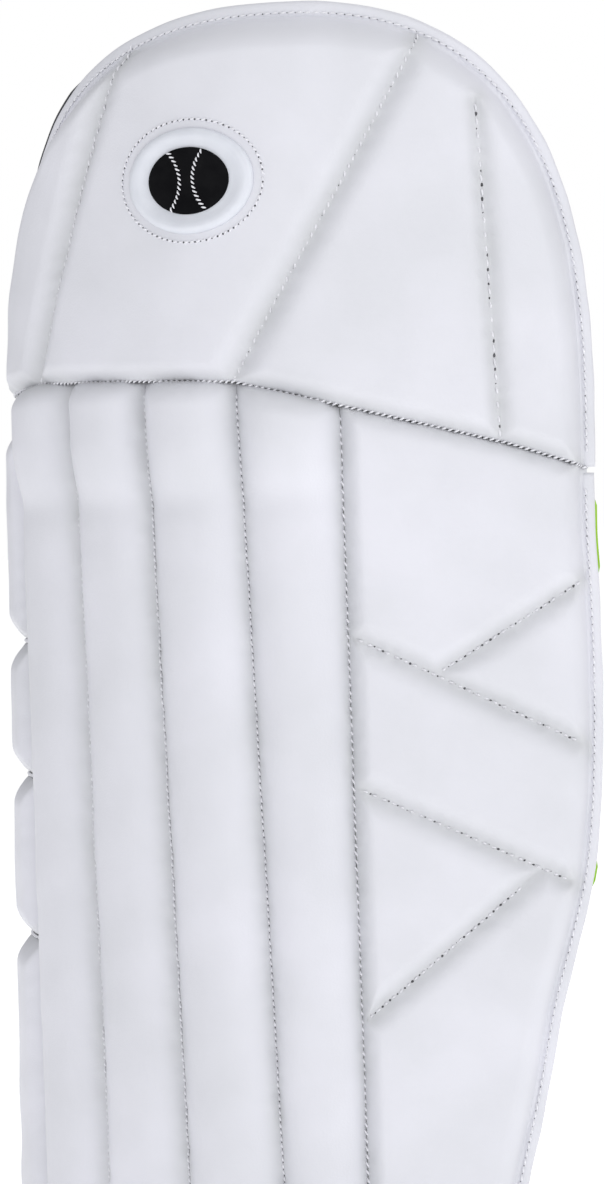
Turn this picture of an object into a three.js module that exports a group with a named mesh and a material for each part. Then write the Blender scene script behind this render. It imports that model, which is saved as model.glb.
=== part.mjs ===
// A cricket leg pad (left leg), in millimetres, +Z up. Its front faces -Y and its large wing is towards +X.
// Every soft piece lies on one curved surface, which is a plan curve scaled evenly from foot to top,
// and opened out on its inner side towards the foot.
// A place on that surface is (s, z, d): s runs along the plan curve, z is height, d is depth out of the front.
import * as THREE from "three";

// Driving dimensions
const HEIGHT = 620;
const FOOT_SCALE = 0.9; // the plan at the foot, as a share of the plan at the top
const SHIN_RADIUS = 139;
const WING_RADIUS = 400;
const INNER_RADIUS = 70;
// How far the inner side opens out at the foot, where along s that begins and is complete, and how high it goes
const FLARE = { out: 26, from: -5, full: -140, top: 560 };
const ROLL_SEAMS = [-84, -38, 4, 46, 88]; // the sewn lines either side of the four shin rolls
const [INNER_SEAM, OUTER_SEAM] = [ROLL_SEAMS[0], ROLL_SEAMS[4]];
const WING_END = 195.5;
const INNER_END = -160;
const HAT_LEFT = -97;
const HAT_APEX = 60;
const RIM = 8; // flat rim between a padded panel and its binding
const BAND_TOP = 34; // height of the instep band at the foot
const ARCH = { s: 2, half: 60, height: 10 }; // the shallow arch cut into the foot over the instep
const BINDING_WIDTH = 3;
const COLUMN_STEP = 9; // spacing of the columns that carry a slab round the curve

// Layers, as depths from the back face of the stiffening board
const BOARD = [0.5, 3];
const LINING = [-5, -0.5];
const BOLSTER_FRONT = -6;
const COVER_BASE = 3.5;
const ROLL_BASE = 4;
const SKIN = 1.2; // thickness of the synthetic leather
const GAP = 0.5; // clearance between neighbours
const ROLL_THICK = 19.5;
const HAT_THICK = 13;
const WING_THICK = 10;
const INNER_THICK = 8;
const BAND_THICK = 9;
const SEAM_STANDOFF = 3; // how far a foam block stops short of a sewn line
const CANE = { width: 16, thick: 3 };

// The inner wing: its top, and the heights where its four cushions meet
const INNER_TOP = 456;
const INNER_BREAKS = [24, 226, 298, 358, 454];

// Bolsters inside the pad: their reach along s and up z, and how far they stand towards the leg
const BOLSTERS = [
  { name: "knee_bolster_upper", from: -76, to: 82, bottom: 388, top: 436, thick: 20 },
  { name: "knee_bolster_lower", from: -76, to: 82, bottom: 322, top: 370, thick: 20 },
  { name: "calf_bolster_outer", from: 96, to: 152, bottom: 150, top: 400, thick: 22 },
  { name: "calf_bolster_inner", from: -138, to: -98, bottom: 60, top: 424, thick: 20 },
];

// The oval badge on the hat: its middle, half its size, the share its ball takes up, and both thicknesses
const BADGE = { s: 34, z: 551, halfWidth: 26, halfHeight: 21.5, ball: 0.66, thick: 2, ballThick: 1.4 };

// Straps: height of the middle, width, and the place on the large wing where each is sewn
const STRAPS = [
  { name: "knee", z: 388, width: 50, edge: 195.5 },
  { name: "calf", z: 245, width: 50, edge: 172 },
  { name: "ankle", z: 92, width: 38, edge: 140 },
];
const STRAP = { thick: 2.4, patch: 1, tab: 2, inset: 4, behind: 4 };
// A strap's line is bent towards this point behind the leg, and ends past the inner wing by this much.
const STRAP_BEND = { aside: 20, behind: 66 };
const STRAP_PAST = { aside: 26, behind: 20 };
// The stretches of a strap's line that the hook patch and the loop tab cover
const HOOK_STRETCH = [0.74, 0.98];
const LOOP_STRETCH = [0.68, 0.97];

const COLOURS = {
  white: 0xe4e4ea,
  lime: 0x9bd21f,
  charcoal: 0x26282b,
  foam: 0xd9d3bd,
  cane: 0xc79a5b,
  black: 0x101114,
};

const material = (color, roughness) => new THREE.MeshStandardMaterial({ color, roughness, metalness: 0 });
const LEATHER = material(COLOURS.white, 0.45);
const LIME_CLOTH = material(COLOURS.lime, 0.85);
const DARK_CLOTH = material(COLOURS.charcoal, 0.85);
const FOAM = material(COLOURS.foam, 0.95);
const CANE_ROD = material(COLOURS.cane, 0.6);
const WEBBING = material(COLOURS.white, 0.8);
const RUBBER = material(COLOURS.black, 0.4);

// The plan curve: a shin arc with a flatter arc on the outer side and a tighter one on the inner side.
const turn = (a) => [Math.sin(a), -Math.cos(a)];
const shinArc = { centre: [0, SHIN_RADIUS], radius: SHIN_RADIUS, from: 0, angle: 0 };
function arcAfter(s, radius) {
  const angle = s / SHIN_RADIUS;
  const [nx, ny] = turn(angle);
  const shift = SHIN_RADIUS - radius;
  return { centre: [nx * shift, SHIN_RADIUS + ny * shift], radius, from: s, angle };
}
const wingArc = arcAfter(OUTER_SEAM, WING_RADIUS);
const innerArc = arcAfter(INNER_SEAM, INNER_RADIUS);

function flare(s, z) {
  const share = THREE.MathUtils.smoothstep(-s, -FLARE.from, -FLARE.full);
  return FLARE.out * share * Math.max(0, 1 - z / FLARE.top);
}

// The point at (s, z, d), as [x, y, z]
function place(s, z, d) {
  const depth = d + flare(s, z);
  const arc = s > OUTER_SEAM ? wingArc : s < INNER_SEAM ? innerArc : shinArc;
  const [nx, ny] = turn(arc.angle + (s - arc.from) / arc.radius);
  const scale = FOOT_SCALE + ((1 - FOOT_SCALE) * z) / HEIGHT;
  const x = (arc.centre[0] + arc.radius * nx) * scale + nx * depth;
  const y = (arc.centre[1] + arc.radius * ny) * scale + ny * depth;
  return [x, y, z];
}

// Straight lines through a few points, as a function of s
function through(...points) {
  return (s) => {
    const i = Math.max(1, points.findIndex(([at]) => at >= s));
    const [[s0, z0], [s1, z1]] = s > points.at(-1)[0] ? points.slice(-2) : [points[i - 1], points[i]];
    return z0 + ((z1 - z0) * (s - s0)) / (s1 - s0);
  };
}

// Outlines, as (s, z) points
const HAT_SEAM = [
  [-100, 463],
  [-84, 468.5],
  [-55, 471.5],
  [0, 470],
  [46, 467.5],
  [OUTER_SEAM, 455.5],
  [157, 436.5],
  [198, 422.5],
];
const WING_CORNERS = [
  [126, 0],
  [141, 55],
  [158.5, 120],
  [168, 157],
  [177, 199],
  [186, 228],
  [191.5, 245],
  [194, 264],
  [WING_END, 300],
];
const hatSeam = through(...HAT_SEAM);
const wingFoot = through([OUTER_SEAM, 0], ...WING_CORNERS);
const footArch = (s) => Math.max(0, ARCH.height * (1 - ((s - ARCH.s) / ARCH.half) ** 2));

// The slanting sewn lines of the hat and of the large wing
const HAT_LINES = {
  left: through([-57, 471.5], [5, 611]),
  middle: through([46, 467.5], [126, 607]),
};
const WING_LINES = {
  vee: through([OUTER_SEAM, 360], [124, 341.5], [WING_END, 381]),
  upper: through([OUTER_SEAM, 360], [WING_END, 305]),
  lower: through([OUTER_SEAM, 297], [191, 247]),
  short: through([OUTER_SEAM, 197.5], [168, 257]),
};

// The top of the hat is half a superellipse on each side of its apex.
const HAT_SIDES = {
  left: { end: HAT_LEFT, base: 455, power: 2.1 },
  right: { end: WING_END, base: 440, power: 2.65 },
};
function hatTop(s) {
  const { end, base, power } = s > HAT_APEX ? HAT_SIDES.right : HAT_SIDES.left;
  const share = Math.min(1, (s - HAT_APEX) / (end - HAT_APEX));
  return base + (HEIGHT - base) * (1 - share ** power) ** (1 / power);
}

// A closed mesh from rings of equal length, joined in turn and capped at both ends
function loft(rings) {
  const n = rings[0].length;
  const index = [];
  for (let r = 0; r + 1 < rings.length; r++)
    for (let i = 0; i < n; i++) {
      const [a, b] = [r * n + i, r * n + ((i + 1) % n)];
      index.push(a, b, b + n, a, b + n, a + n);
    }
  const last = (rings.length - 1) * n;
  for (const [i, j, k] of THREE.ShapeUtils.triangulateShape(capShape(rings[0]), [])) index.push(k, j, i);
  for (const [i, j, k] of THREE.ShapeUtils.triangulateShape(capShape(rings.at(-1)), []))
    index.push(last + i, last + j, last + k);
  return closed(rings.flat(), index);
}

// A ring's points in its own plane, for cutting the cap into triangles. They run anticlockwise.
function capShape(ring) {
  const points = ring.map((p) => new THREE.Vector3(...p));
  const normal = new THREE.Vector3();
  points.forEach((p, i) => normal.add(p.clone().cross(points[(i + 1) % points.length])));
  normal.normalize();
  const across = points[1].clone().sub(points[0]).normalize();
  const up = normal.clone().cross(across);
  return points.map((p) => new THREE.Vector2(p.dot(across), p.dot(up)));
}

// A geometry whose faces point outwards, whichever way the indices ran
function closed(points, index) {
  const v = points.map((p) => new THREE.Vector3(...p));
  let volume = 0;
  for (let i = 0; i < index.length; i += 3)
    volume += v[index[i]].dot(v[index[i + 1]].clone().cross(v[index[i + 2]]));
  if (volume < 0) index.reverse();
  const geometry = new THREE.BufferGeometry();
  geometry.setAttribute("position", new THREE.Float32BufferAttribute(points.flat(), 3));
  geometry.setIndex(index);
  geometry.computeVertexNormals();
  return geometry;
}

// Places along s from one end to the other, about one step apart
function columns(from, to, step = COLUMN_STEP) {
  const count = Math.max(1, Math.round(Math.abs(to - from) / step));
  return Array.from({ length: count + 1 }, (_, i) => from + ((to - from) * i) / count);
}

// A slab between two heights and two depths. Its front face is smaller than its back face by the bevel.
function slab({ from, to, low, high, back, front, bevel = 0, step }) {
  const rings = columns(from, to, step).map((s) => {
    const inner = THREE.MathUtils.clamp(s, from + bevel, to - bevel);
    const tall = high(s) - low(s);
    const cut = Math.min(bevel, Math.max(0, tall / 2 - 0.4));
    return [
      place(s, low(s), back),
      place(s, high(s), back),
      place(inner, high(s) - cut, front),
      place(inner, low(s) + cut, front),
    ];
  });
  return loft(rings);
}

// A thin cover shaped like a shallow tray, open at the back: its rim is at the base and its middle stands out.
function cover({ from, to, low, high, base, thick, bevel }) {
  const span = to - from;
  const middle = columns(from + bevel, to - bevel);
  const rings = [from, from + bevel * 0.5, ...middle, to - bevel * 0.5, to].map((s) => {
    const fromEnd = Math.min(s - from, to - s, span / 2);
    const tall = high(s) - low(s);
    const cut = Math.min(bevel, Math.max(0.5, tall / 2 - 0.5));
    const rise = thick * Math.min(1, fromEnd / bevel) * Math.min(1, cut / bevel);
    const [outer, inner] = [base + SKIN, base].map((d) => [
      place(s, low(s), d),
      place(s, low(s) + cut, d + rise),
      place(s, high(s) - cut, d + rise),
      place(s, high(s), d),
    ]);
    return [...outer, ...inner.reverse()];
  });
  return loft(rings);
}

// The half-round section of a shin roll between two seams, drawn inside a margin, as (s, d) pairs
function rollSection(roll, margin, base, thick) {
  const [left, right] = [ROLL_SEAMS[roll] + margin, ROLL_SEAMS[roll + 1] - margin];
  const [middle, half] = [(left + right) / 2, (right - left) / 2];
  const steps = 9;
  const arch = Array.from({ length: steps + 1 }, (_, i) => {
    const a = (Math.PI * i) / steps;
    return [middle - half * Math.cos(a), base + thick * Math.sin(a) ** 0.8];
  });
  return [...arch, ...[0.5, 0, -0.5].map((share) => [middle + half * share, base])];
}

const rollLow = () => BAND_TOP + GAP;
const rollHigh = (s) => hatSeam(s) - GAP;
const atHeight = (section, height) => section.map(([s, d]) => place(s, height(s), d));

// A roll's cover is a sleeve, open at the top and at the foot.
function sleeve(roll) {
  const outer = rollSection(roll, GAP / 2, ROLL_BASE, ROLL_THICK);
  const inner = rollSection(roll, GAP / 2 + SKIN * 1.4, ROLL_BASE + SKIN, ROLL_THICK - 2 * SKIN);
  const n = outer.length;
  const points = [rollLow, rollHigh].flatMap((h) => [...atHeight(outer, h), ...atHeight(inner, h)]);
  const index = [];
  const join = (a, b) => {
    for (let i = 0; i < n; i++) {
      const j = (i + 1) % n;
      index.push(a + i, b + i, b + j, a + i, b + j, a + j);
    }
  };
  join(0, 2 * n);
  join(3 * n, n);
  join(n, 0);
  join(2 * n, 3 * n);
  return closed(points, index);
}

function rollFoam(roll) {
  const base = ROLL_BASE + SKIN + GAP + CANE.thick + GAP;
  const crown = ROLL_BASE + ROLL_THICK - 2 * SKIN - 2 * GAP;
  const section = rollSection(roll, 5, base, crown - base);
  return loft([atHeight(section, () => BAND_TOP + 4), atHeight(section, (s) => hatSeam(s) - 4)]);
}

function rollCane(roll) {
  const middle = (ROLL_SEAMS[roll] + ROLL_SEAMS[roll + 1]) / 2;
  const base = ROLL_BASE + SKIN + GAP;
  return slab({
    from: middle - CANE.width / 2,
    to: middle + CANE.width / 2,
    low: () => BAND_TOP + 6,
    high: (s) => hatSeam(s) - 6,
    back: base,
    front: base + CANE.thick,
  });
}

// A strip that follows an outline of (s, z) points, standing outwards from it by the given width
function binding(outline, width, back, front) {
  const rings = outline.map(([s, z], i) => {
    const [s0, z0] = outline[Math.max(0, i - 1)];
    const [s1, z1] = outline[Math.min(outline.length - 1, i + 1)];
    const length = Math.hypot(s1 - s0, z1 - z0);
    const [os, oz] = [-(z1 - z0) / length, (s1 - s0) / length];
    const [near, far] = [GAP, GAP + width].map((w) => [s + os * w, z + oz * w]);
    return [place(...near, back), place(...far, back), place(...far, front), place(...near, front)];
  });
  return loft(rings);
}

const root = new THREE.Group();
function add(name, geometry, finish) {
  const mesh = new THREE.Mesh(geometry, finish);
  mesh.name = name;
  root.add(mesh);
}

// The shin: four rolls on one board, a padded lining behind, and a band across the instep
function buildShin() {
  for (let roll = 0; roll < 4; roll++) {
    add(`roll_cover_${roll + 1}`, sleeve(roll), LEATHER);
    add(`roll_foam_${roll + 1}`, rollFoam(roll), FOAM);
    add(`roll_cane_${roll + 1}`, rollCane(roll), CANE_ROD);
  }
  const across = { from: INNER_SEAM + GAP, to: OUTER_SEAM - GAP };
  const whole = { ...across, low: footArch, high: rollHigh };
  add("shin_board", slab({ ...whole, back: BOARD[0], front: BOARD[1] }), FOAM);
  const padded = { low: (s) => footArch(s) + 2, high: (s) => hatSeam(s) - 4, back: LINING[1], front: LINING[0] };
  add("shin_lining", slab({ ...across, from: INNER_SEAM + 3, ...padded }), LIME_CLOTH);
  const band = { low: footArch, high: () => BAND_TOP, back: COVER_BASE, front: COVER_BASE + BAND_THICK };
  add("instep_band", slab({ ...across, ...band }), LEATHER);
}

// Bolsters inside the pad, which sit on the lining and hold the leg in the middle
function buildBolsters() {
  for (const { name, from, to, bottom, top, thick } of BOLSTERS) {
    const shape = { from, to, low: () => bottom, high: () => top, bevel: 9 };
    add(name, slab({ ...shape, back: BOLSTER_FRONT, front: BOLSTER_FRONT - thick }), LEATHER);
  }
}

// A padded panel's foam blocks, cut to the pockets between its sewn lines
function blocks(prefix, thick, pockets) {
  pockets.forEach(({ from, to, low, high }, i) => {
    const block = slab({
      from: from + SEAM_STANDOFF + 1,
      to: to - SEAM_STANDOFF - 1,
      low: (s) => low(s) + SEAM_STANDOFF,
      high: (s) => high(s) - SEAM_STANDOFF,
      back: COVER_BASE + GAP,
      front: COVER_BASE + thick - 3,
      bevel: 9,
    });
    add(`${prefix}_${i + 1}`, block, FOAM);
  });
}

// The hat: one padded flap above the shin, with four pockets between its seams and a badge on its face
function buildHat() {
  const beside = 5; // half the flat beside a slanting seam
  const top = (s) => hatTop(s) - RIM - 4;
  const { left, middle } = HAT_LINES;
  const rightOfLeft = (s) => Math.min(top(s), left(s) - beside);
  const rightOfMiddle = (s) => Math.min(top(s), middle(s) - beside);
  blocks("hat_foam", HAT_THICK, [
    { from: HAT_LEFT + 4, to: -4, low: (s) => Math.max(hatSeam(s), left(s) + beside), high: top },
    { from: -50, to: 113, low: (s) => Math.max(hatSeam(s), middle(s) + beside), high: rightOfLeft },
    { from: 49, to: 152, low: hatSeam, high: rightOfMiddle },
    { from: 161, to: 187, low: hatSeam, high: top },
  ]);
  const whole = {
    from: HAT_LEFT + 1,
    to: WING_END - 1,
    low: (s) => hatSeam(s) + GAP,
    high: (s) => hatTop(s) - 1,
  };
  add("hat_cover", cover({ ...whole, base: COVER_BASE, thick: HAT_THICK, bevel: RIM }), LEATHER);
  add("hat_board", slab({ ...whole, back: BOARD[0], front: BOARD[1] }), FOAM);
  add("hat_lining", slab({ ...whole, back: LINING[1], front: LINING[0] }), DARK_CLOTH);
  add("hat_binding", binding(hatOutline(), BINDING_WIDTH, LINING[0], COVER_BASE + 3), LEATHER);
  const face = COVER_BASE + HAT_THICK + SKIN + GAP;
  add("badge_base", ovalPlate(1, face, BADGE.thick), LEATHER);
  add("badge_ball", ovalPlate(BADGE.ball, face + BADGE.thick + GAP, BADGE.ballThick), RUBBER);
}

// The hat's edge from its left foot over the top to its right foot, closer together where it turns most
function hatOutline() {
  const steps = 18;
  const quarter = Array.from({ length: steps + 1 }, (_, i) => (Math.PI / 2) * (i / steps));
  const left = quarter.map((a) => HAT_APEX - (HAT_APEX - HAT_LEFT) * Math.cos(a));
  const right = quarter.slice(1).map((a) => HAT_APEX + (WING_END - HAT_APEX) * Math.sin(a));
  const edge = [...left, ...right].map((s) => [s, Math.max(hatTop(s), hatSeam(s) + 3)]);
  return [...edge, [WING_END, hatSeam(WING_END) + 1]];
}

// An oval plate that follows the curved front of the hat, where the badge sits, at a share of the badge's size
function ovalPlate(share, depth, thick) {
  const [halfWidth, halfHeight] = [BADGE.halfWidth * share, BADGE.halfHeight * share];
  const blunt = 0.5; // half the height left at the oval's two ends
  const reach = (s) => blunt + halfHeight * Math.sqrt(Math.max(0, 1 - ((s - BADGE.s) / halfWidth) ** 2));
  return slab({
    from: BADGE.s - halfWidth,
    to: BADGE.s + halfWidth,
    low: (s) => BADGE.z - reach(s),
    high: (s) => BADGE.z + reach(s),
    back: depth,
    front: depth + thick,
    step: halfWidth / 7,
  });
}

// The large wing is sewn to the shin, and its five pockets lie between slanting seams.
function buildWing() {
  const { vee, upper, lower, short } = WING_LINES;
  const edge = (s) => wingFoot(s) + RIM;
  const [near, far] = [OUTER_SEAM + 2, WING_END - RIM];
  blocks("wing_foam", WING_THICK, [
    { from: near, to: far, low: vee, high: hatSeam },
    { from: 128, to: far, low: (s) => Math.max(upper(s), edge(s)), high: vee },
    { from: near, to: far, low: (s) => Math.max(lower(s), edge(s)), high: upper },
    { from: near, to: 160, low: short, high: lower },
    { from: near, to: 170, low: edge, high: (s) => Math.min(short(s), lower(s)) },
  ]);
  const whole = {
    from: OUTER_SEAM + GAP,
    to: WING_END - 1,
    low: (s) => wingFoot(s) + 1,
    high: (s) => hatSeam(s) - GAP,
  };
  add("wing_cover", cover({ ...whole, base: COVER_BASE, thick: WING_THICK, bevel: RIM }), LEATHER);
  add("wing_board", slab({ ...whole, back: BOARD[0], front: BOARD[1] }), FOAM);
  add("wing_lining", slab({ ...whole, back: LINING[1], front: LINING[0] }), LIME_CLOTH);
  const corners = WING_CORNERS.slice(1).reverse();
  const outline = [[WING_END, hatSeam(WING_END) - 4], ...corners, [129, 10]];
  add("wing_binding", binding(outline, BINDING_WIDTH, LINING[0], COVER_BASE + 3), LEATHER);
}

// The small inner wing has four cushions, one above another, on its own board and lining.
function buildInnerWing() {
  const shape = { from: INNER_END + 2, to: INNER_SEAM - GAP };
  const cushions = INNER_BREAKS.length - 1;
  for (let i = 0; i < cushions; i++) {
    const number = cushions - i;
    const low = () => INNER_BREAKS[i] + GAP;
    const high = () => INNER_BREAKS[i + 1] - GAP;
    const skin = { ...shape, low, high, base: COVER_BASE, thick: INNER_THICK, bevel: 9 };
    add(`inner_cushion_cover_${number}`, cover(skin), LEATHER);
    const fill = { from: shape.from + 4, to: shape.to - 4, low: () => low() + 4, high: () => high() - 4 };
    const depth = { back: COVER_BASE + GAP, front: COVER_BASE + INNER_THICK - 1, bevel: 9 };
    add(`inner_cushion_foam_${number}`, slab({ ...fill, ...depth }), FOAM);
  }
  const whole = { ...shape, low: () => 0, high: () => INNER_TOP };
  add("inner_board", slab({ ...whole, back: BOARD[0], front: BOARD[1] }), FOAM);
  const soft = { ...whole, to: INNER_SEAM - 3, low: () => 2 };
  add("inner_lining", slab({ ...soft, back: LINING[1], front: LINING[0] }), DARK_CLOTH);
  const edge = [3, INNER_TOP / 2, INNER_TOP - 1].map((z) => [shape.from, z]);
  add("inner_binding", binding(edge, BINDING_WIDTH, LINING[0], COVER_BASE + 3), LEATHER);
}

// The plan line of a strap: from inside the large wing at s = edge, round behind the leg
function strapLine(edge, z) {
  const depth = LINING[0] - STRAP.behind;
  const [startX, startY] = place(edge - STRAP.inset, z, depth);
  const [nearX, nearY] = place(INNER_END + 6, z, depth);
  const bend = [(startX + nearX) / 2 + STRAP_BEND.aside, Math.max(startY, nearY) + STRAP_BEND.behind];
  return new THREE.QuadraticBezierCurve(
    new THREE.Vector2(startX, startY),
    new THREE.Vector2(...bend),
    new THREE.Vector2(nearX + STRAP_PAST.aside, nearY + STRAP_PAST.behind),
  );
}

// A band of webbing along the stretch t0..t1 of a strap's line. Offsets are measured towards the leg.
function webbing(line, [t0, t1], z, width, [near, far], lead = []) {
  const steps = Math.max(3, Math.round((t1 - t0) * 22));
  const stations = Array.from({ length: steps + 1 }, (_, i) => {
    const t = t0 + ((t1 - t0) * i) / steps;
    const [p, along] = [line.getPoint(t), line.getTangent(t)];
    return [near, far].map((o) => [p.x - along.y * o, p.y + along.x * o]);
  });
  const rings = [...stations, ...lead].map(([a, b]) => [
    [...a, z - width / 2],
    [...b, z - width / 2],
    [...b, z + width / 2],
    [...a, z + width / 2],
  ]);
  return loft(rings);
}

// Each strap swings on the large wing. Its hook patch faces a loop tab that is sewn inside the inner wing.
function buildStraps() {
  for (const { name, z, width, edge } of STRAPS) {
    const line = strapLine(edge, z);
    const half = STRAP.thick / 2;
    add(`${name}_strap`, webbing(line, [0, 1], z, width, [-half, half]), WEBBING);
    const hook = half + GAP;
    const loop = hook + STRAP.patch + GAP;
    add(`${name}_hook_patch`, webbing(line, HOOK_STRETCH, z, width - 8, [hook, hook + STRAP.patch]), DARK_CLOTH);
    const sewn = [LINING[0] - 1, LINING[0] - 1 - STRAP.tab];
    const lead = [6, 16].map((inset) => sewn.map((d) => place(INNER_END + inset, z, d).slice(0, 2)));
    add(`${name}_loop_tab`, webbing(line, LOOP_STRETCH, z, width - 2, [loop, loop + STRAP.tab], lead), WEBBING);
  }
}

buildShin();
buildBolsters();
buildHat();
buildWing();
buildInnerWing();
buildStraps();

// The origin is under the middle of the object's box.
const box = new THREE.Box3().setFromObject(root);
const middle = box.getCenter(new THREE.Vector3());
root.position.set(-middle.x, -middle.y, -box.min.z);

export default root;
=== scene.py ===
"""A cricket leg pad: its looks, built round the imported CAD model.

Every soft piece lies on the pad's curved surface, where a place is (s, z, d) in millimetres:
s runs along the plan curve towards the large wing, z is height, and d is depth out of the front.
"""

import math

import bmesh
import bpy
import numpy as np
from mathutils import Matrix, Vector


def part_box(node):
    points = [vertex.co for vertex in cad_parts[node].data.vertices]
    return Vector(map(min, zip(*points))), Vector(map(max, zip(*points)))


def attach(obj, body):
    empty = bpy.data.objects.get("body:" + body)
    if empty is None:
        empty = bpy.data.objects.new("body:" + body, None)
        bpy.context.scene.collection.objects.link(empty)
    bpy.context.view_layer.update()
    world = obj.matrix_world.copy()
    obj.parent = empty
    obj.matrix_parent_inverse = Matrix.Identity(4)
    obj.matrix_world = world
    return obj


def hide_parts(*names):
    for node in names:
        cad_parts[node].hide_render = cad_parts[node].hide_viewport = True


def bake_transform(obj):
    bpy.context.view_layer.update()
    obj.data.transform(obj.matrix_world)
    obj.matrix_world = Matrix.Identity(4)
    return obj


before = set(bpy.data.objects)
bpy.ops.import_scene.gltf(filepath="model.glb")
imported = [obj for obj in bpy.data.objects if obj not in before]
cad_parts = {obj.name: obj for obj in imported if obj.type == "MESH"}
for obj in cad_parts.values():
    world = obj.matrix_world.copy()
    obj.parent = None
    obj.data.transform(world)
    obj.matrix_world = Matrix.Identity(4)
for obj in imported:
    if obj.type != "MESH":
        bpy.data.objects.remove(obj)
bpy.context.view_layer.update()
MM = 0.001

# Driving dimensions of the CAD model
HEIGHT = 620
FOOT_SCALE = 0.9
FLARE_OUT, FLARE_FROM, FLARE_FULL, FLARE_TOP = 26, -5, -140, 560
SHIN_RADIUS = 139
WING_RADIUS = 400
INNER_RADIUS = 70
ROLL_SEAMS = (-84, -38, 4, 46, 88)
INNER_SEAM, OUTER_SEAM = ROLL_SEAMS[0], ROLL_SEAMS[-1]
WING_END = 195.5
INNER_END = -160
INNER_TOP = 455
HAT_LEFT = -97
HAT_APEX = 60
HAT_LEFT_BASE, HAT_RIGHT_BASE = 455, 440
HAT_LEFT_POWER, HAT_RIGHT_POWER = 2.1, 2.65
BAND_TOP = 34
BOARD_BACK, BOARD_FRONT = 0.5, 3
LINING_BACK, LINING_FRONT = -5, -0.5
LINING_THICK, SHIN_LINING_THICK = 3.2, 2.8
COVER_BASE = 3.5
SKIN = 1.2
RIM = 4.2
CUSHION_BREAKS = (24, 226, 298, 358, 454)

# Sewn lines as (s, z) points
HAT_SEAM = (
    (-100, 463),
    (-84, 468.5),
    (-55, 471.5),
    (0, 470),
    (46, 467.5),
    (88, 455.5),
    (157, 436.5),
    (198, 422.5),
)
WING_EDGE = (
    (0, 126),
    (55, 142),
    (120, 157.5),
    (160, 168),
    (200, 177),
    (230, 186),
    (250, 191.5),
    (280, 195.5),
    (310, 197),
    (370, 196.5),
    (400, 195),
    (440, 195),
)
HAT_LEFT_SEAM = ((-57, 471.5), (5, 611))
HAT_MIDDLE_SEAM = ((46, 467.5), (126, 607))
HAT_RIGHT_SEAM = ((154, 438), (147, 578))
WING_UPPER_SEAM = ((88, 360), (197, 304.5))
WING_VEE_SEAM = ((124, 341.5), (196, 381))
WING_LOWER_SEAM = ((88, 297), (191, 247))
WING_SHORT_SEAM = ((88, 197.5), (168, 257))


# ---------------------------------------------------------------- the pad's surface


def arc(start, radius):
    """One arc of the plan curve, which leaves the shin's arc at s = start."""
    angle = start / SHIN_RADIUS
    reach = SHIN_RADIUS - radius
    return start, radius, angle, math.sin(angle) * reach, SHIN_RADIUS - math.cos(angle) * reach


ARCS = np.array([arc(0, SHIN_RADIUS), arc(OUTER_SEAM, WING_RADIUS), arc(INNER_SEAM, INNER_RADIUS)])


def flare(s, z):
    """How far the inner side opens out towards the foot."""
    share = np.clip((FLARE_FROM - s) / (FLARE_FROM - FLARE_FULL), 0, 1)
    return FLARE_OUT * share**2 * (3 - 2 * share) * np.maximum(0, 1 - z / FLARE_TOP)


def place_flat(s, z, d):
    """Points at (s, z, d), in millimetres from the plan curve's own origin."""
    s, z, d = np.broadcast_arrays(np.asarray(s, float), np.asarray(z, float), np.asarray(d, float))
    which = np.where(s > OUTER_SEAM, 1, np.where(s < INNER_SEAM, 2, 0))
    start, radius, angle, x0, y0 = np.moveaxis(ARCS[which], -1, 0)
    turn = angle + (s - start) / radius
    nx, ny = np.sin(turn), -np.cos(turn)
    scale = FOOT_SCALE + (1 - FOOT_SCALE) * z / HEIGHT
    d = d + flare(s, z)
    return np.stack(((x0 + radius * nx) * scale + nx * d, (y0 + radius * ny) * scale + ny * d, z), -1)


def hat_seam(s):
    """The height of the seam at the hat's base."""
    return np.interp(s, *zip(*HAT_SEAM))


def level(value):
    """A function that is the same value everywhere on the surface."""
    return lambda s, *_: np.full(np.shape(s), float(value))


def find_origin():
    """Where the plan curve's origin lies in the row frame, read from the wing board's box."""
    _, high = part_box("wing_board")
    low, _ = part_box("shin_board")
    s = WING_END - 1
    corner = place_flat(s, hat_seam(s) - 0.5, BOARD_FRONT)
    return np.array([high.x / MM - corner[0], low.y / MM + BOARD_FRONT, 0])


ORIGIN = find_origin()


def place(s, z, d):
    """Points at (s, z, d), in metres in the row frame."""
    return (place_flat(s, z, d) + ORIGIN) * MM


def locate(points):
    """The (s, z, d) of points in metres in the row frame: place() the other way round."""
    x, y, z = (np.asarray(points) / MM - ORIGIN).T
    scale = FOOT_SCALE + (1 - FOOT_SCALE) * z / HEIGHT
    found = []
    for start, radius, angle, x0, y0 in ARCS:
        dx, dy = x - x0 * scale, y - y0 * scale
        found.append((start + (np.arctan2(dx, -dy) - angle) * radius, np.hypot(dx, dy) - radius * scale))
    (s, d), wing, inner = found
    beyond, before = s > OUTER_SEAM, s < INNER_SEAM
    s = np.where(beyond, wing[0], np.where(before, inner[0], s))
    d = np.where(beyond, wing[1], np.where(before, inner[1], d))
    return s, z, d - flare(s, z)


def curve_through(points):
    """A smooth curve through a few (at, value) points, as a function."""
    at, value = (np.array(v, float) for v in zip(*points))
    slope = np.gradient(value, at)

    def curve(x):
        x = np.clip(x, at[0], at[-1])
        i = np.clip(np.searchsorted(at, x) - 1, 0, len(at) - 2)
        span = at[i + 1] - at[i]
        t = (x - at[i]) / span
        rise = value[i + 1] - value[i]
        start, end = slope[i] * span, slope[i + 1] * span
        return value[i] + t * start + t**2 * (3 * rise - 2 * start - end) + t**3 * (start + end - 2 * rise)

    return curve


wing_edge = curve_through(WING_EDGE)


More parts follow.
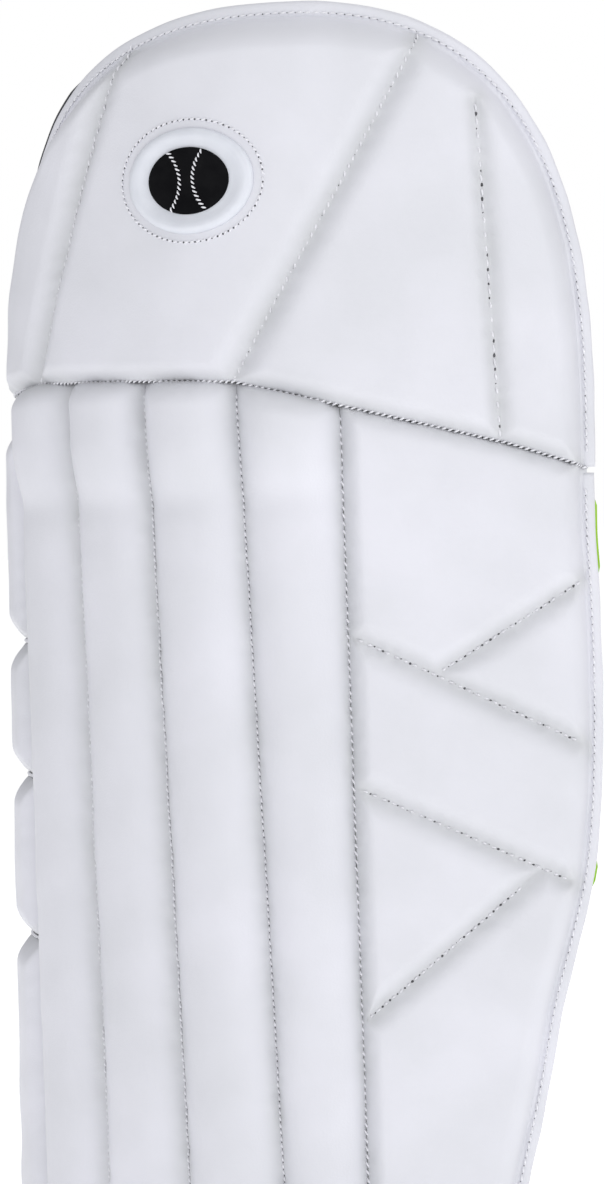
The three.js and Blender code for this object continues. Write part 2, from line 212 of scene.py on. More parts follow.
def hat_top(s):
    """The hat's top: half a superellipse on each side of its apex."""
    s = np.asarray(s, float)
    right = s > HAT_APEX
    half = np.where(right, WING_END - HAT_APEX, HAT_APEX - HAT_LEFT)
    power = np.where(right, HAT_RIGHT_POWER, HAT_LEFT_POWER)
    base = np.where(right, HAT_RIGHT_BASE, HAT_LEFT_BASE)
    share = np.minimum(1, np.abs(s - HAT_APEX) / half)
    return base + (HEIGHT - base) * (1 - share**power) ** (1 / power)


# ---------------------------------------------------------------- shaping helpers


def to_line(s, z, points):
    """The distance from each (s, z) to a line through a few points."""
    best = np.full(np.broadcast(s, z).shape, np.inf)
    for (s0, z0), (s1, z1) in zip(points, points[1:]):
        ds, dz = s1 - s0, z1 - z0
        t = np.clip(((s - s0) * ds + (z - z0) * dz) / (ds * ds + dz * dz), 0, 1)
        best = np.minimum(best, np.hypot(s - s0 - t * ds, z - z0 - t * dz))
    return best


def shoulder(q, width, crisp=1.8):
    """0 on a sewn line, rising to 1 at a distance of width from it."""
    return 1 - (1 - np.clip(q / width, 0, 1)) ** crisp


def step(x, low, high):
    """A smooth rise from 0 at low to 1 at high."""
    t = np.clip((x - low) / (high - low), 0, 1)
    return t * t * (3 - 2 * t)


def ripple(s, z, size, seed, waves=9):
    """Smooth random height between about -1 and 1, whose bumps are about size apart."""
    random = np.random.default_rng(seed)
    total = 0
    for _ in range(waves):
        turn, phase = random.uniform(0, 2 * math.pi, 2)
        pace = 2 * math.pi / size * random.uniform(0.6, 1.4)
        total = total + np.sin(pace * (s * math.cos(turn) + z * math.sin(turn)) + phase)
    return total / math.sqrt(waves)


GATHER, GATHER_REACH, GATHER_SIZE = 0.34, 5, 8
SWELL, SWELL_SIZE = 0.2, 34


def pucker(s, z, q, seed):
    """How far leather gathers beside a sewn line at distance q, in millimetres."""
    gather = GATHER * np.exp(-((q / GATHER_REACH) ** 2)) * ripple(s, z, GATHER_SIZE, seed)
    return gather + SWELL * ripple(s, z, SWELL_SIZE, seed + 1)


# ---------------------------------------------------------------- meshes


def add_object(name, data):
    made = bpy.data.objects.new(name, data)
    bpy.context.scene.collection.objects.link(made)
    return made


def mesh_object(name, points, faces, finish):
    """A smooth piece, with its finish as its material."""
    mesh = bpy.data.meshes.new(name)
    mesh.from_pydata(np.asarray(points).reshape(-1, 3).tolist(), [], faces)
    mesh.materials.append(finish)
    mesh.shade_smooth()
    mesh.validate()
    piece = add_object(name, mesh)
    return piece


def grid_faces(rows, columns, wrap_rows=False, wrap_columns=False):
    """Quads over a grid of points, rows by columns, which may join up with itself."""
    faces = []
    for i in range(rows if wrap_rows else rows - 1):
        for j in range(columns if wrap_columns else columns - 1):
            i1, j1 = (i + 1) % rows, (j + 1) % columns
            faces.append((i * columns + j, i1 * columns + j, i1 * columns + j1, i * columns + j1))
    return faces


def shell(name, s, z, d, thick, finish, seam=None):
    """A closed skin over a grid of (s, z), whose front is at depth d."""
    rows, columns = d.shape
    front = place(s, z, d).reshape(-1, 3)
    back = place(s, z, d - thick).reshape(-1, 3)
    count = rows * columns
    faces = grid_faces(rows, columns)
    faces += [tuple(count + c for c in reversed(face)) for face in grid_faces(rows, columns)]
    edge = [(i, 0) for i in range(rows)] + [(rows - 1, j) for j in range(1, columns)]
    edge += [(i, columns - 1) for i in range(rows - 2, -1, -1)] + [(0, j) for j in range(columns - 2, 0, -1)]
    loop = [i * columns + j for i, j in edge]
    for a, b in zip(loop, loop[1:] + loop[:1]):
        faces.append((b, a, count + a, count + b))
    piece = mesh_object(name, np.concatenate((front, back)), faces, finish)
    store_surface(piece, np.tile(np.stack((s, z), -1).reshape(-1, 2), (2, 1)))
    # The seam map sets where the leather paints shade in its grooves
    if seam is not None:
        store_value(piece, "seam", np.tile(seam.ravel(), 2))
    return piece


def store_surface(piece, places):
    """Keeps each vertex's (s, z) as a UV map in metres, which the weaves and grains follow."""
    layer = piece.data.uv_layers.new(name="surface")
    corners = np.zeros(len(piece.data.loops), int)
    piece.data.loops.foreach_get("vertex_index", corners)
    layer.data.foreach_set("uv", (np.asarray(places)[corners] * MM).ravel())


def store_value(piece, name, values):
    attribute = piece.data.attributes.new(name, "FLOAT", "POINT")
    attribute.data.foreach_set("value", np.asarray(values, np.float32).ravel())


def band_mesh(name, rings, finish):
    """A closed tube through rings of equal size, as points in metres."""
    rings = np.asarray(rings)
    count, size = rings.shape[:2]
    faces = [tuple(reversed(face)) for face in grid_faces(count, size, wrap_columns=True)]
    faces.append(tuple(range(size)))
    faces.append(tuple(range(count * size - 1, (count - 1) * size - 1, -1)))
    piece = mesh_object(name, rings, faces, finish)
    fix_normals(piece)
    return piece


def fix_normals(piece):
    """Turns every face outwards."""
    work = bmesh.new()
    work.from_mesh(piece.data)
    bmesh.ops.recalc_face_normals(work, faces=work.faces)
    work.to_mesh(piece.data)
    work.free()


def travelled(points):
    """How far along a line each of its points lies."""
    return np.concatenate(([0], np.cumsum(np.linalg.norm(np.diff(points, axis=0), axis=1))))


def read(at, travel, values):
    """The values, given at each place in travel, read at other places."""
    return np.stack([np.interp(at, travel, column) for column in values.T], -1)


def resample(points, spacing):
    """Points at even distances along a line of (s, z) points."""
    points = np.asarray(points, float)
    travel = travelled(points)
    at = np.linspace(0, travel[-1], max(3, round(travel[-1] / spacing) + 1))
    return read(at, travel, points)


def sideways(line):
    """The unit (s, z) direction to the left of a line of (s, z) points, at each point."""
    ahead = np.gradient(line, axis=0)
    ahead /= np.maximum(1e-9, np.hypot(*ahead.T))[:, None]
    return np.stack((-ahead[:, 1], ahead[:, 0]), -1)


# ---------------------------------------------------------------- stitching

STITCH_SIDES = 6
STITCH_ARC = (0.0, 0.25, 0.5, 0.75, 1.0)
STITCH_RISE = 0.75
STITCH_SINK, STITCH_TIP = 0.5, 0.55
HOLE_LIP = 0.35
HOLE_SIDES = 7
RIM_STITCH_INSET, RIM_STITCH_DEPTH = 1.9, 5.6


def thread_mesh(name, starts, ends, normals, radius, lift, finish):
    """One mesh of many short stitches, each a thread that rises from one hole and goes down the next."""
    count = len(starts)
    ahead = ends - starts
    ahead /= np.linalg.norm(ahead, axis=1)[:, None]
    side = np.cross(ahead, normals)
    angles = np.arange(STITCH_SIDES) * 2 * math.pi / STITCH_SIDES
    rings = []
    for t in STITCH_ARC:
        arch = math.sin(math.pi * t)
        middle = starts + (ends - starts) * t + normals * (lift * arch - radius * STITCH_SINK) * MM
        wide = radius * (STITCH_TIP + (1 - STITCH_TIP) * arch) * MM
        for a in angles:
            rings.append(middle + (side * math.cos(a) + normals * math.sin(a)) * wide)
    verts = np.stack(rings, 1).reshape(-1, 3)
    size = len(STITCH_ARC) * STITCH_SIDES
    one = grid_faces(len(STITCH_ARC), STITCH_SIDES, wrap_columns=True)
    one += [tuple(range(STITCH_SIDES - 1, -1, -1)), tuple(range(size - STITCH_SIDES, size))]
    faces = [tuple(v + k * size for v in face) for k in range(count) for face in one]
    piece = mesh_object(name, verts, faces, finish)
    fix_normals(piece)
    return piece


def hole_mesh(name, centres, normals, sizes, finish):
    """One mesh of many small sunken needle holes, coloured dark as painted shade inside them."""
    helper = np.where(np.abs(normals[:, 2:3]) < 0.9, [[0.0, 0.0, 1.0]], [[1.0, 0.0, 0.0]])
    right = np.cross(helper, normals)
    right /= np.linalg.norm(right, axis=1)[:, None]
    up = np.cross(normals, right)
    wide = (sizes * MM)[:, None]
    rim = []
    for k in range(HOLE_SIDES):
        a = 2 * math.pi * k / HOLE_SIDES
        rim.append(centres + (right * math.cos(a) + up * math.sin(a)) * wide)
    verts = np.stack(rim + [centres + normals * wide * HOLE_LIP, centres - normals * wide], 1).reshape(-1, 3)
    one = [(k, (k + 1) % HOLE_SIDES, HOLE_SIDES) for k in range(HOLE_SIDES)]
    one += [((k + 1) % HOLE_SIDES, k, HOLE_SIDES + 1) for k in range(HOLE_SIDES)]
    size = HOLE_SIDES + 2
    faces = [tuple(v + n * size for v in face) for n in range(len(centres)) for face in one]
    return mesh_object(name, verts, faces, finish)


class Sewing:
    """Gathers the stitches and needle holes of one part of the pad."""

    def __init__(self, seed):
        self.random = np.random.default_rng(seed)
        self.starts, self.ends, self.normals = [], [], []
        self.holes, self.hole_normals, self.hole_sizes = [], [], []

    def along(self, points, normals, pitch=3.4, slant=0.9, share=0.8, hole=0.42):
        """Stitches along a dense line of points in metres, with the surface's normal at each.
        slant is how far a stitch leans across the line, and share how much of the pitch it covers."""
        travel = travelled(points) / MM
        count = max(2, round(travel[-1] / pitch))
        at = (np.arange(count) + 0.5) * travel[-1] / count
        half = travel[-1] / count * share / 2
        first, last = read(at - half, travel, points), read(at + half, travel, points)
        normal = read(at, travel, normals)
        aside = np.cross(normal, last - first)
        aside /= np.linalg.norm(aside, axis=1)[:, None]
        lean = slant * self.random.uniform(0.75, 1.25, count)[:, None] * MM / 2
        self.starts.append(first - aside * lean)
        self.ends.append(last + aside * lean)
        self.normals.append(normal)
        between = np.arange(1, count) * travel[-1] / count
        self.holes.append(read(between, travel, points))
        self.hole_normals.append(read(between, travel, normals))
        self.hole_sizes.append(hole * self.random.uniform(0.6, 1.15, count - 1))

    def sew(self, line, depth, lift=0.0, **style):
        """Stitches along a line of (s, z) points, on the surface whose depth is depth(s, z)."""
        line = resample(line, 1)
        s, z = line.T
        self.along(place(s, z, depth(s, z) + lift), outward(s, z), **style)

    def sew_rim(self, outline, **style):
        """Stitches along the binding of an outline, a little inside it."""
        line = resample(outline, 3)
        inside = line - sideways(line) * RIM_STITCH_INSET
        self.sew(inside[2:-2], level(RIM_STITCH_DEPTH), slant=0.7, **style)

    def finish(self, name, radius=0.46):
        """Makes the pieces and returns them: the threads, then the holes."""
        starts, ends, normals = (np.concatenate(v) for v in (self.starts, self.ends, self.normals))
        threads = thread_mesh(f"{name}_stitches", starts, ends, normals, radius, STITCH_RISE, THREAD)
        places, ups, sizes = (np.concatenate(v) for v in (self.holes, self.hole_normals, self.hole_sizes))
        holes = hole_mesh(f"{name}_needle_holes", places, ups, sizes, NEEDLE_HOLE_SHADE)
        return threads, holes

    def ride(self, name, body):
        """Makes the pieces, which ride on a body."""
        ride_all(self.finish(name), body)


def ride_all(pieces, body):
    for piece in pieces:
        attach(piece, body)


def say_soft(piece, fill, *nodes):
    """Hides the CAD nodes that a padded piece stands for. How full it is, fill, is not used."""
    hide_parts(*nodes)


def outward(s, z):
    """The direction out of the front at each (s, z)."""
    normal = place(s, z, 1) - place(s, z, 0)
    return normal / np.linalg.norm(normal, axis=-1)[..., None]


# ---------------------------------------------------------------- materials


class Finish:
    """A node material under construction: a principled shader, with helpers that add nodes to it."""

    def __init__(self, name, roughness, **constants):
        self.material = bpy.data.materials.new(name)
        self.material.use_nodes = True
        self.nodes, self.links = self.material.node_tree.nodes, self.material.node_tree.links
        self.shader = self.nodes["Principled BSDF"]
        self.shader.inputs["Roughness"].default_value = roughness
        for key, value in constants.items():
            self.shader.inputs[key.replace("_", " ")].default_value = value
        self.height = None

    def feed(self, socket, given):
        """Gives a socket a number, a colour, or another node's output."""
        if isinstance(given, bpy.types.NodeSocket):
            self.links.new(given, socket)
        else:
            socket.default_value = given

    def add(self, kind, **inputs):
        """Adds a node, whose sockets are named with _ for each space."""
        node = self.nodes.new(f"ShaderNode{kind}")
        for name, given in inputs.items():
            self.feed(node.inputs[name.replace("_", " ")], given)
        return node

    def coordinates(self, source="Object", stretch=(1, 1, 1)):
        """A coordinate output: "UV" for the pad's own surface, or "Object"."""
        where = self.add("TexCoord")
        return self.add("Mapping", Scale=stretch, Vector=where.outputs[source]).outputs["Vector"]

    def noise(self, scale, detail=3, stretch=(1, 1, 1)):
        where = self.coordinates(stretch=stretch)
        return self.add("TexNoise", Scale=scale, Detail=detail, Vector=where).outputs["Fac"]

    def cells(self, scale):
        return self.add("TexVoronoi", Scale=scale, Vector=self.coordinates()).outputs["Distance"]

    def bands(self, scale, direction, wobble=0.4):
        """Parallel threads, along one direction of the surface."""
        where = self.coordinates("UV")
        node = self.add("TexWave", Scale=scale, Distortion=wobble, Detail_Scale=2, Vector=where)
        node.bands_direction = direction
        return node.outputs["Fac"]

    def value(self, name):
        node = self.add("Attribute")
        node.attribute_name = name
        return node.outputs["Fac"]

    def maths(self, operation, a, b):
        node = self.add("Math")
        node.operation = operation
        self.feed(node.inputs[0], a)
        self.feed(node.inputs[1], b)
        return node.outputs["Value"]

    def between(self, factor, low, high):
        """Runs a 0-1 factor through a range of values."""
        return self.add("MapRange", To_Min=low, To_Max=high, Value=factor).outputs["Result"]

    def colour(self, factor, *stops):
        """The base colour, from (place, colour) stops along a factor."""
        ramp = self.add("ValToRGB", Fac=factor)
        elements = ramp.color_ramp.elements
        while len(elements) < len(stops):
            elements.new(0.5)
        for element, (at, colour) in zip(elements, stops):
            element.position = at
            element.color = (*colour, 1)
        return ramp.outputs["Color"]

    def mix(self, factor, a, b):
        """A colour that goes from output a to colour b with the factor."""
        node = self.add("Mix", Factor=factor)
        node.data_type = "RGBA"
        first, second = (socket for socket in node.inputs if socket.type == "RGBA")
        self.feed(first, a)
        self.feed(second, (*b, 1))
        return next(socket for socket in node.outputs if socket.type == "RGBA")

    def paint(self, colour):
        self.feed(self.shader.inputs["Base Color"], colour)

    def roughen(self, value):
        self.feed(self.shader.inputs["Roughness"], value)

    def bump(self, height, distance, strength=1.0):
        """Adds a layer of bump, whose height is in millimetres."""
        node = self.add("Bump", Distance=distance * MM, Strength=strength, Height=height)
        if self.height:
            self.feed(node.inputs["Normal"], self.height)
        self.height = node.outputs["Normal"]
        self.feed(self.shader.inputs["Normal"], self.height)


WHITE = (0.77, 0.77, 0.83)
WHITE_SHADE = (0.70, 0.705, 0.75)
# The colour of the painted shade in the leather's seams
GROOVE_SHADE = (0.56, 0.57, 0.58)
LIME = (0.42, 0.72, 0.03)
LIME_DEEP = (0.27, 0.52, 0.02)
CHARCOAL = (0.022, 0.024, 0.028)
CHARCOAL_LIGHT = (0.055, 0.058, 0.065)


def leather(name, grain):
    """Coated synthetic leather: a fine pebble, faint creases, and painted shade that darkens it a little in its
    seams.
    """
    finish = Finish(name, 0.45, Specular_IOR_Level=0.4, Coat_Weight=0.06, Coat_Roughness=0.3)
    cloudy = finish.noise(14, 4)
    base = finish.colour(cloudy, (0.35, WHITE_SHADE), (0.68, WHITE))
    # Painted shade: the leather darkens towards the groove colour where the seam map puts a point deep in a
    # seam
    groove_shade = finish.maths("MULTIPLY", finish.value("seam"), finish.between(finish.noise(60, 3), 0.2, 0.9))
    finish.paint(finish.mix(groove_shade, base, GROOVE_SHADE))
    finish.roughen(finish.between(finish.noise(45, 4), 0.38, 0.56))
    finish.bump(finish.cells(1100), grain, 0.35)
    finish.bump(finish.noise(420, 5), 0.12, 0.3)
    finish.bump(finish.noise(70, 3), 0.35, 0.25)
    return finish.material


RADIANS_A_TURN = 6.2832


def woven(name, light, deep, thread, height):
    """A plain weave, whose bands are `thread` millimetres wide at a node scale of one."""
    finish = Finish(name, 0.85, Sheen_Weight=0.25, Sheen_Roughness=0.5, Specular_IOR_Level=0.2)
    pace = 1 / (thread * MM) / RADIANS_A_TURN * 0.5
    weft, warp = finish.bands(pace, "X"), finish.bands(pace, "Y")
    cloth = finish.maths("MULTIPLY", weft, warp)
    cloudy = finish.noise(55, 4)
    tone = finish.maths("ADD", finish.maths("MULTIPLY", cloth, 0.5), finish.maths("MULTIPLY", cloudy, 0.6))
    finish.paint(finish.colour(tone, (0.2, deep), (0.75, light)))
    finish.bump(cloth, height, 0.7)
    finish.bump(finish.noise(900, 2), 0.08, 0.4)
    return finish.material


def brushed(name, light, deep, hair, height=0.5):
    """Hook or loop tape: a dense field of tiny ends."""
    finish = Finish(name, 0.95, Sheen_Weight=0.4, Sheen_Roughness=0.4, Specular_IOR_Level=0.15)
    ends = finish.cells(hair)
    finish.paint(finish.colour(ends, (0.1, light), (0.6, deep)))
    finish.bump(ends, height, 0.8)
    finish.bump(finish.noise(160, 4), 0.3, 0.4)
    return finish.material


def plain(name, light, deep, roughness, cloud=120, bump=0.08, **constants):
    """Thread, foam or moulded plastic: a slightly cloudy colour over a fine surface."""
    finish = Finish(name, roughness, **constants)
    finish.paint(finish.colour(finish.noise(cloud, 4), (0.3, deep), (0.7, light)))
    finish.roughen(finish.between(finish.noise(cloud * 2, 2), roughness * 0.85, min(1, roughness * 1.15)))
    finish.bump(finish.noise(cloud * 8, 3), bump, 0.5)
    return finish.material


def cane_finish():
    """Split cane: long pale fibres along its height."""
    finish = Finish("cane", 0.6)
    fibres = finish.noise(60, 5, stretch=(8, 8, 0.4))
    finish.paint(finish.colour(fibres, (0.3, (0.42, 0.25, 0.09)), (0.7, (0.66, 0.46, 0.22))))
    finish.bump(fibres, 0.3, 0.6)
    return finish.material


LEATHER = leather("white_leather", grain=0.1)
BINDING = leather("binding_leather", grain=0.07)
LIME_CLOTH = woven("lime_mesh", LIME, LIME_DEEP, thread=1.3, height=0.35)
DARK_CLOTH = woven("charcoal_mesh", CHARCOAL_LIGHT, CHARCOAL, thread=1.3, height=0.35)
WEBBING = woven("strap_weave", (0.74, 0.74, 0.79), (0.56, 0.56, 0.6), thread=1.1, height=0.3)
LOOP_TAPE = brushed("loop_pile", (0.72, 0.72, 0.77), (0.5, 0.5, 0.54), hair=1100)
HOOK_TAPE = brushed("hook_pile", (0.06, 0.062, 0.068), (0.012, 0.012, 0.014), hair=750)
BOARD = plain("fibre_board", (0.46, 0.4, 0.28), (0.36, 0.3, 0.2), 0.9)
CANE = cane_finish()
THREAD = plain("white_thread", (0.88, 0.88, 0.92), (0.76, 0.76, 0.8), 0.6, cloud=600, Sheen_Weight=0.2)
# Painted shade: the needle holes are near black for the shade inside them
NEEDLE_HOLE_SHADE = plain("needle_hole", (0.14, 0.14, 0.15), (0.05, 0.05, 0.055), 0.9, cloud=300)
MOULDING_COAT = {"Coat_Weight": 0.15, "Coat_Roughness": 0.2}
BADGE_WHITE = plain("badge_moulding", (0.74, 0.76, 0.82), (0.7, 0.72, 0.78), 0.3, **MOULDING_COAT)
BALL_BLACK, BALL_BLACK_DEEP = (0.008, 0.008, 0.009), (0.003, 0.003, 0.004)
BADGE_BLACK = plain("badge_ball", BALL_BLACK, BALL_BLACK_DEEP, 0.6, bump=0.03, Specular_IOR_Level=0.04)


# ---------------------------------------------------------------- front surfaces

RIM_LEVEL = COVER_BASE + SKIN + 0.2
CROWN, CROWN_WIDTH = 0.06, 42
HAT_THICK, WING_THICK, INNER_THICK, ROLL_THICK, ROLL_KNEE = 12.2, 9.4, 8.5, 11.4, 4.6
KNEE_LOW, KNEE_HIGH = 412, 446
KNEE_CREASE, KNEE_CREASE_AT, KNEE_CREASE_WIDTH = 0.9, 420, 7
ROLL_FAN = (0, -4, 2.5, 7.5, 0)
FAN_TOP = 470

# Each seam as its line, the width it pulls in on each side, and its share of the thickness
HAT_SEAMS = ((HAT_LEFT_SEAM, 10, 0.5), (HAT_MIDDLE_SEAM, 10, 0.5), (HAT_RIGHT_SEAM, 8, 0.34))
WING_LINES = (WING_UPPER_SEAM, WING_VEE_SEAM, WING_LOWER_SEAM, WING_SHORT_SEAM)
WING_SEAMS = tuple((line, 9, 0.5) for line in WING_LINES)


def measured(s, z, seams):
    """Seams with the distance of each (s, z) in place of their lines."""
    return tuple((to_line(s, z, line), width, share) for line, width, share in seams)


def nearest(seams, *others):
    """The distance to the nearest of some measured seams, and of other distances."""
    return np.minimum.reduce([q for q, *_ in seams] + list(others))


def quilted(thick, edges, seams=()):
    """Depth of a padded panel. Edges are (distance, width) and fall to the rim.
    Seams are (distance, width, share) and pull it in by a share of its thickness."""
    rise = 1
    for q, width in edges:
        rise = np.minimum(rise, shoulder(q, width))
    cut = 0
    for q, width, share in seams:
        cut = np.maximum(cut, share * (1 - shoulder(q, width)))
    crown = CROWN * shoulder(nearest((*edges, *seams)), CROWN_WIDTH, 2)
    return RIM_LEVEL + thick * (np.minimum(rise, 1 - cut) + crown)


def hat_outline(count=70):
    """The hat's outline from its left bottom corner, over the top, to its right bottom corner."""
    turn = np.linspace(0, math.pi / 2, count)
    left = HAT_APEX - (HAT_APEX - HAT_LEFT) * np.cos(turn)
    right = HAT_APEX + (WING_END - HAT_APEX) * np.sin(turn[1:])
    s = np.concatenate((left, right))
    z = np.maximum(hat_top(s), hat_seam(s) + 3)
    return np.concatenate((np.stack((s, z), -1), [(WING_END, hat_seam(WING_END) + 1)]))


def wing_outline(high, low, count):
    """The wing's outer edge, down from one height to another."""
    z = np.linspace(high, low, count)
    return np.stack((wing_edge(z), z), -1)


HAT_OUTLINE = hat_outline()
WING_OUTLINE = wing_outline(hat_seam(WING_END) - 1.5, 1, 90)


def hat_depth(s, z):
    outer = to_line(s, z, HAT_OUTLINE) - RIM
    bottom = to_line(s, z, HAT_SEAM)
    seams = (*measured(s, z, HAT_SEAMS), (bottom, 8, 0.5))
    return quilted(HAT_THICK, ((outer, 13),), seams) + pucker(s, z, nearest(seams), 11)


def wing_depth(s, z):
    outer = to_line(s, z, WING_OUTLINE) - RIM
    top = to_line(s, z, HAT_SEAM)
    inside = np.maximum(0, s - OUTER_SEAM)
    foot = np.maximum(0, z - 8)
    seams = (*measured(s, z, WING_SEAMS), (top, 8, 0.5), (inside, 8, 0.75))
    return quilted(WING_THICK, ((outer, 12), (foot, 12)), seams) + pucker(s, z, nearest(seams), 21)


def fan(s, z):
    """Moves a place on the rolls aside by as much as their seams spread towards the foot."""
    return s + np.interp(s, ROLL_SEAMS, ROLL_FAN) * (1 - z / FAN_TOP)


def unfan(s, z):
    """The place that fan() moves to s."""
    found = s
    for _ in range(4):
        found = s - np.interp(found, ROLL_SEAMS, ROLL_FAN) * (1 - z / FAN_TOP)
    return found


def roll_depth(s, z):
    """The shin rolls: rounded ribs between their seams, fuller at the knee."""
    top = to_line(s, z, HAT_SEAM)
    s = unfan(s, z)
    roll = np.clip(np.searchsorted(ROLL_SEAMS, s) - 1, 0, 3)
    left, right = np.array(ROLL_SEAMS)[roll], np.array(ROLL_SEAMS)[roll + 1]
    across = (2 * s - left - right) / (right - left)
    arch = 0.2 + 0.8 * (1 - np.minimum(1, np.abs(across)) ** 2.5) ** 0.9
    crease = KNEE_CREASE * np.exp(-(((z - KNEE_CREASE_AT) / KNEE_CREASE_WIDTH) ** 2))
    thick = ROLL_THICK + ROLL_KNEE * step(z, KNEE_LOW, KNEE_HIGH) - crease
    taper = (0.5 + 0.5 * shoulder(top, 10, 2.2)) * shoulder(np.maximum(0, z - BAND_TOP), 12, 2.2)
    near = np.minimum(top, np.minimum(s - left, right - s))
    return RIM_LEVEL + thick * arch * taper + pucker(s, z, near, 31) * taper


def from_breaks(z, breaks):
    """The distance from each height to the nearest of a few."""
    return np.min([np.abs(z - b) for b in breaks], axis=0)


def inner_depth(s, z):
    """The inner wing's cushions, which pull in at the breaks between them."""
    breaks = from_breaks(z, CUSHION_BREAKS)
    inside = np.maximum(0, INNER_SEAM - s)
    outer = np.maximum(0, s - INNER_END - RIM)
    edges = ((inside, 8), (outer, 9), (breaks, 13))
    return quilted(INNER_THICK, edges) + pucker(s, z, np.minimum(breaks, inside), 41)


def columns_between(low, high, count):
    """Places from low to high, closer together towards both ends."""
    return (low + high) / 2 - (high - low) / 2 * np.cos(np.linspace(0, math.pi, count))


def grid_under(low, high, s, rows):
    """A grid of (s, z) whose columns run from low(s) to high(s)."""
    share = np.linspace(0, 1, rows)[None, :]
    s = np.repeat(np.asarray(s)[:, None], rows, 1)
    return s, low(s) + (high(s) - low(s)) * share


def groove_map(near, width):
    """How deep in a seam each point lies, from 0 to 1: where the leather takes its painted shade."""
    return np.exp(-((near / width) ** 2))


def padded_cover(name, s, z, depth, near, groove, fill, *nodes):
    """A leather cover, darkened a little in its grooves by painted shade, which stands for its CAD cover and
    foam.
    """
    cover = shell(name, s, z, depth, SKIN, LEATHER, groove_map(near, groove))
    say_soft(cover, fill, *nodes)
    return cover


def padded_lining(name, node, s, z, thick, finish):
    lining = shell(name, s, z, level(LINING_FRONT)(s), thick, finish)
    say_soft(lining, 0.4, node)
    return lining


def section(sides, wide_power, deep_power):
    """A rounded rectangle's outline, from -1 to 1 both ways, for a tape's cross-section."""
    turn = np.arange(sides) * 2 * math.pi / sides
    wide, deep = np.cos(turn), np.sin(turn)
    return np.sign(wide) * np.abs(wide) ** wide_power, np.sign(deep) * np.abs(deep) ** deep_power


BINDING_ROUND = 2 / 3.4
BINDING_WAVE, BINDING_WAVE_SIZE = 0.03, 24


def binding(name, outline, reach=(-4.0, 3.2), depth=5.5, finish=BINDING, taper=0):
    """Tape folded round an outline of (s, z) points, whose outside is on its left."""
    line = resample(outline, 2)
    aside = sideways(line)
    wide, deep = section(20, BINDING_ROUND, BINDING_ROUND)
    out = (reach[0] + reach[1]) / 2 + (reach[1] - reach[0]) / 2 * wide
    wave = 1 + BINDING_WAVE * ripple(*line.T, BINDING_WAVE_SIZE, 5)
    if taper:
        from_start = np.arange(len(line))
        from_end = 2 * np.minimum(from_start, from_start[::-1])
        wave = wave * np.sqrt(np.clip((from_end + 0.2) / taper, 0, 1))
    wave = wave[:, None]
    s = line[:, :1] + aside[:, :1] * out * wave
    z = line[:, 1:] + aside[:, 1:] * out * wave
    return band_mesh(name, place(s, z, depth * deep * wave), finish)


# ---------------------------------------------------------------- top hat

HAT_BLEND_START = place(0, hat_seam(0), 0)
HAT_LIP_END, HAT_LIP_TAPER = -8, 26
BADGE_AT, BADGE_SIZE = (34, 551), (25.5, 22)

# The badge's rings, as (share of its size, height) pairs
MOULDING_PROFILE = (
    (0.01, 1.1),
    (0.35, 1.1),
    (0.66, 1.1),
    (0.72, 1.4),
    (0.78, 2.2),
    (0.86, 2.9),
    (0.93, 2.5),
    (0.985, 1.1),
    (1.0, -0.6),
    (0.5, -0.9),
    (0.01, -0.9),
)
BALL_PROFILE = (
    (0.61, 0.6),
    (0.63, 1.1),
    (0.625, 1.9),
    (0.58, 2.3),
    (0.45, 2.7),
    (0.3, 2.95),
    (0.01, 3.1),
)


def bend_with_hat(pieces):
    for piece in pieces:
        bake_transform(piece)


def make_hat():
    s = columns_between(HAT_LEFT + 1, WING_END - 1, 190)
    s, z = grid_under(lambda s: hat_seam(s) + 0.05, lambda s: hat_top(s) - 1, s, 112)
    seams = measured(s, z, HAT_SEAMS)
    near = nearest(seams, to_line(s, z, HAT_SEAM))
    foams = [f"hat_foam_{i + 1}" for i in range(4)]
    cover = padded_cover("hat_padded_cover", s, z, hat_depth(s, z), near, 5, 0.85, "hat_cover", *foams)
    thick = LINING_THICK + 1.5 * shoulder(nearest(seams, to_line(s, z, HAT_OUTLINE)), 14)
    lining = padded_lining("hat_padded_lining", "hat_lining", s, z, thick, DARK_CLOTH)
    board = shell("hat_stiffener", s, z, level(BOARD_FRONT)(s), BOARD_FRONT - BOARD_BACK, BOARD)
    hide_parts("hat_board")
    edge = binding("hat_edge_binding", HAT_OUTLINE)
    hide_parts("hat_binding")
    left_side = HAT_OUTLINE[HAT_OUTLINE[:, 0] < HAT_LIP_END]
    lip = binding("hat_lining_lip", left_side, (1.5, 3.9), 5.0, DARK_CLOTH, HAT_LIP_TAPER)
    bend_with_hat((cover, lining, board, edge, lip))


def sew_hat():
    work = Sewing(101)
    for line in (HAT_LEFT_SEAM, HAT_MIDDLE_SEAM):
        work.sew(line, hat_depth, lift=0.3, pitch=3.6, slant=1.5, hole=0.26)
    work.sew(HAT_RIGHT_SEAM, hat_depth, lift=0.4, pitch=6, slant=0.4, share=0.55, hole=0.9)
    work.sew_rim(HAT_OUTLINE, hole=0.26)
    bend_with_hat(work.finish("hat"))
    base = Sewing(102)
    s = np.linspace(-95, 194, 60)
    line = np.stack((s, hat_seam(s)), -1)
    base.sew(line, hat_depth, lift=0.2, pitch=2.6, slant=1.4, hole=0.25)
    base.ride("hat_seam", "shin_guard")


def on_badge(turn, share, tall_share=None):
    """(s, z) points of an oval round the badge's middle."""
    (s0, z0), (wide, tall) = BADGE_AT, BADGE_SIZE
    return s0 + wide * share * np.cos(turn), z0 + tall * (tall_share or share) * np.sin(turn)


def turned(name, profile, finish, node):
    """An oval piece of the badge, which lies on the hat."""
    turn = np.linspace(0, 2 * math.pi, 72, endpoint=False)
    rings = []
    for share, height in profile:
        s, z = on_badge(turn, share)
        rings.append(place(s, z, hat_depth(s, z) + height))
    piece = band_mesh(name, rings, finish)
    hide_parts(node)
    return piece


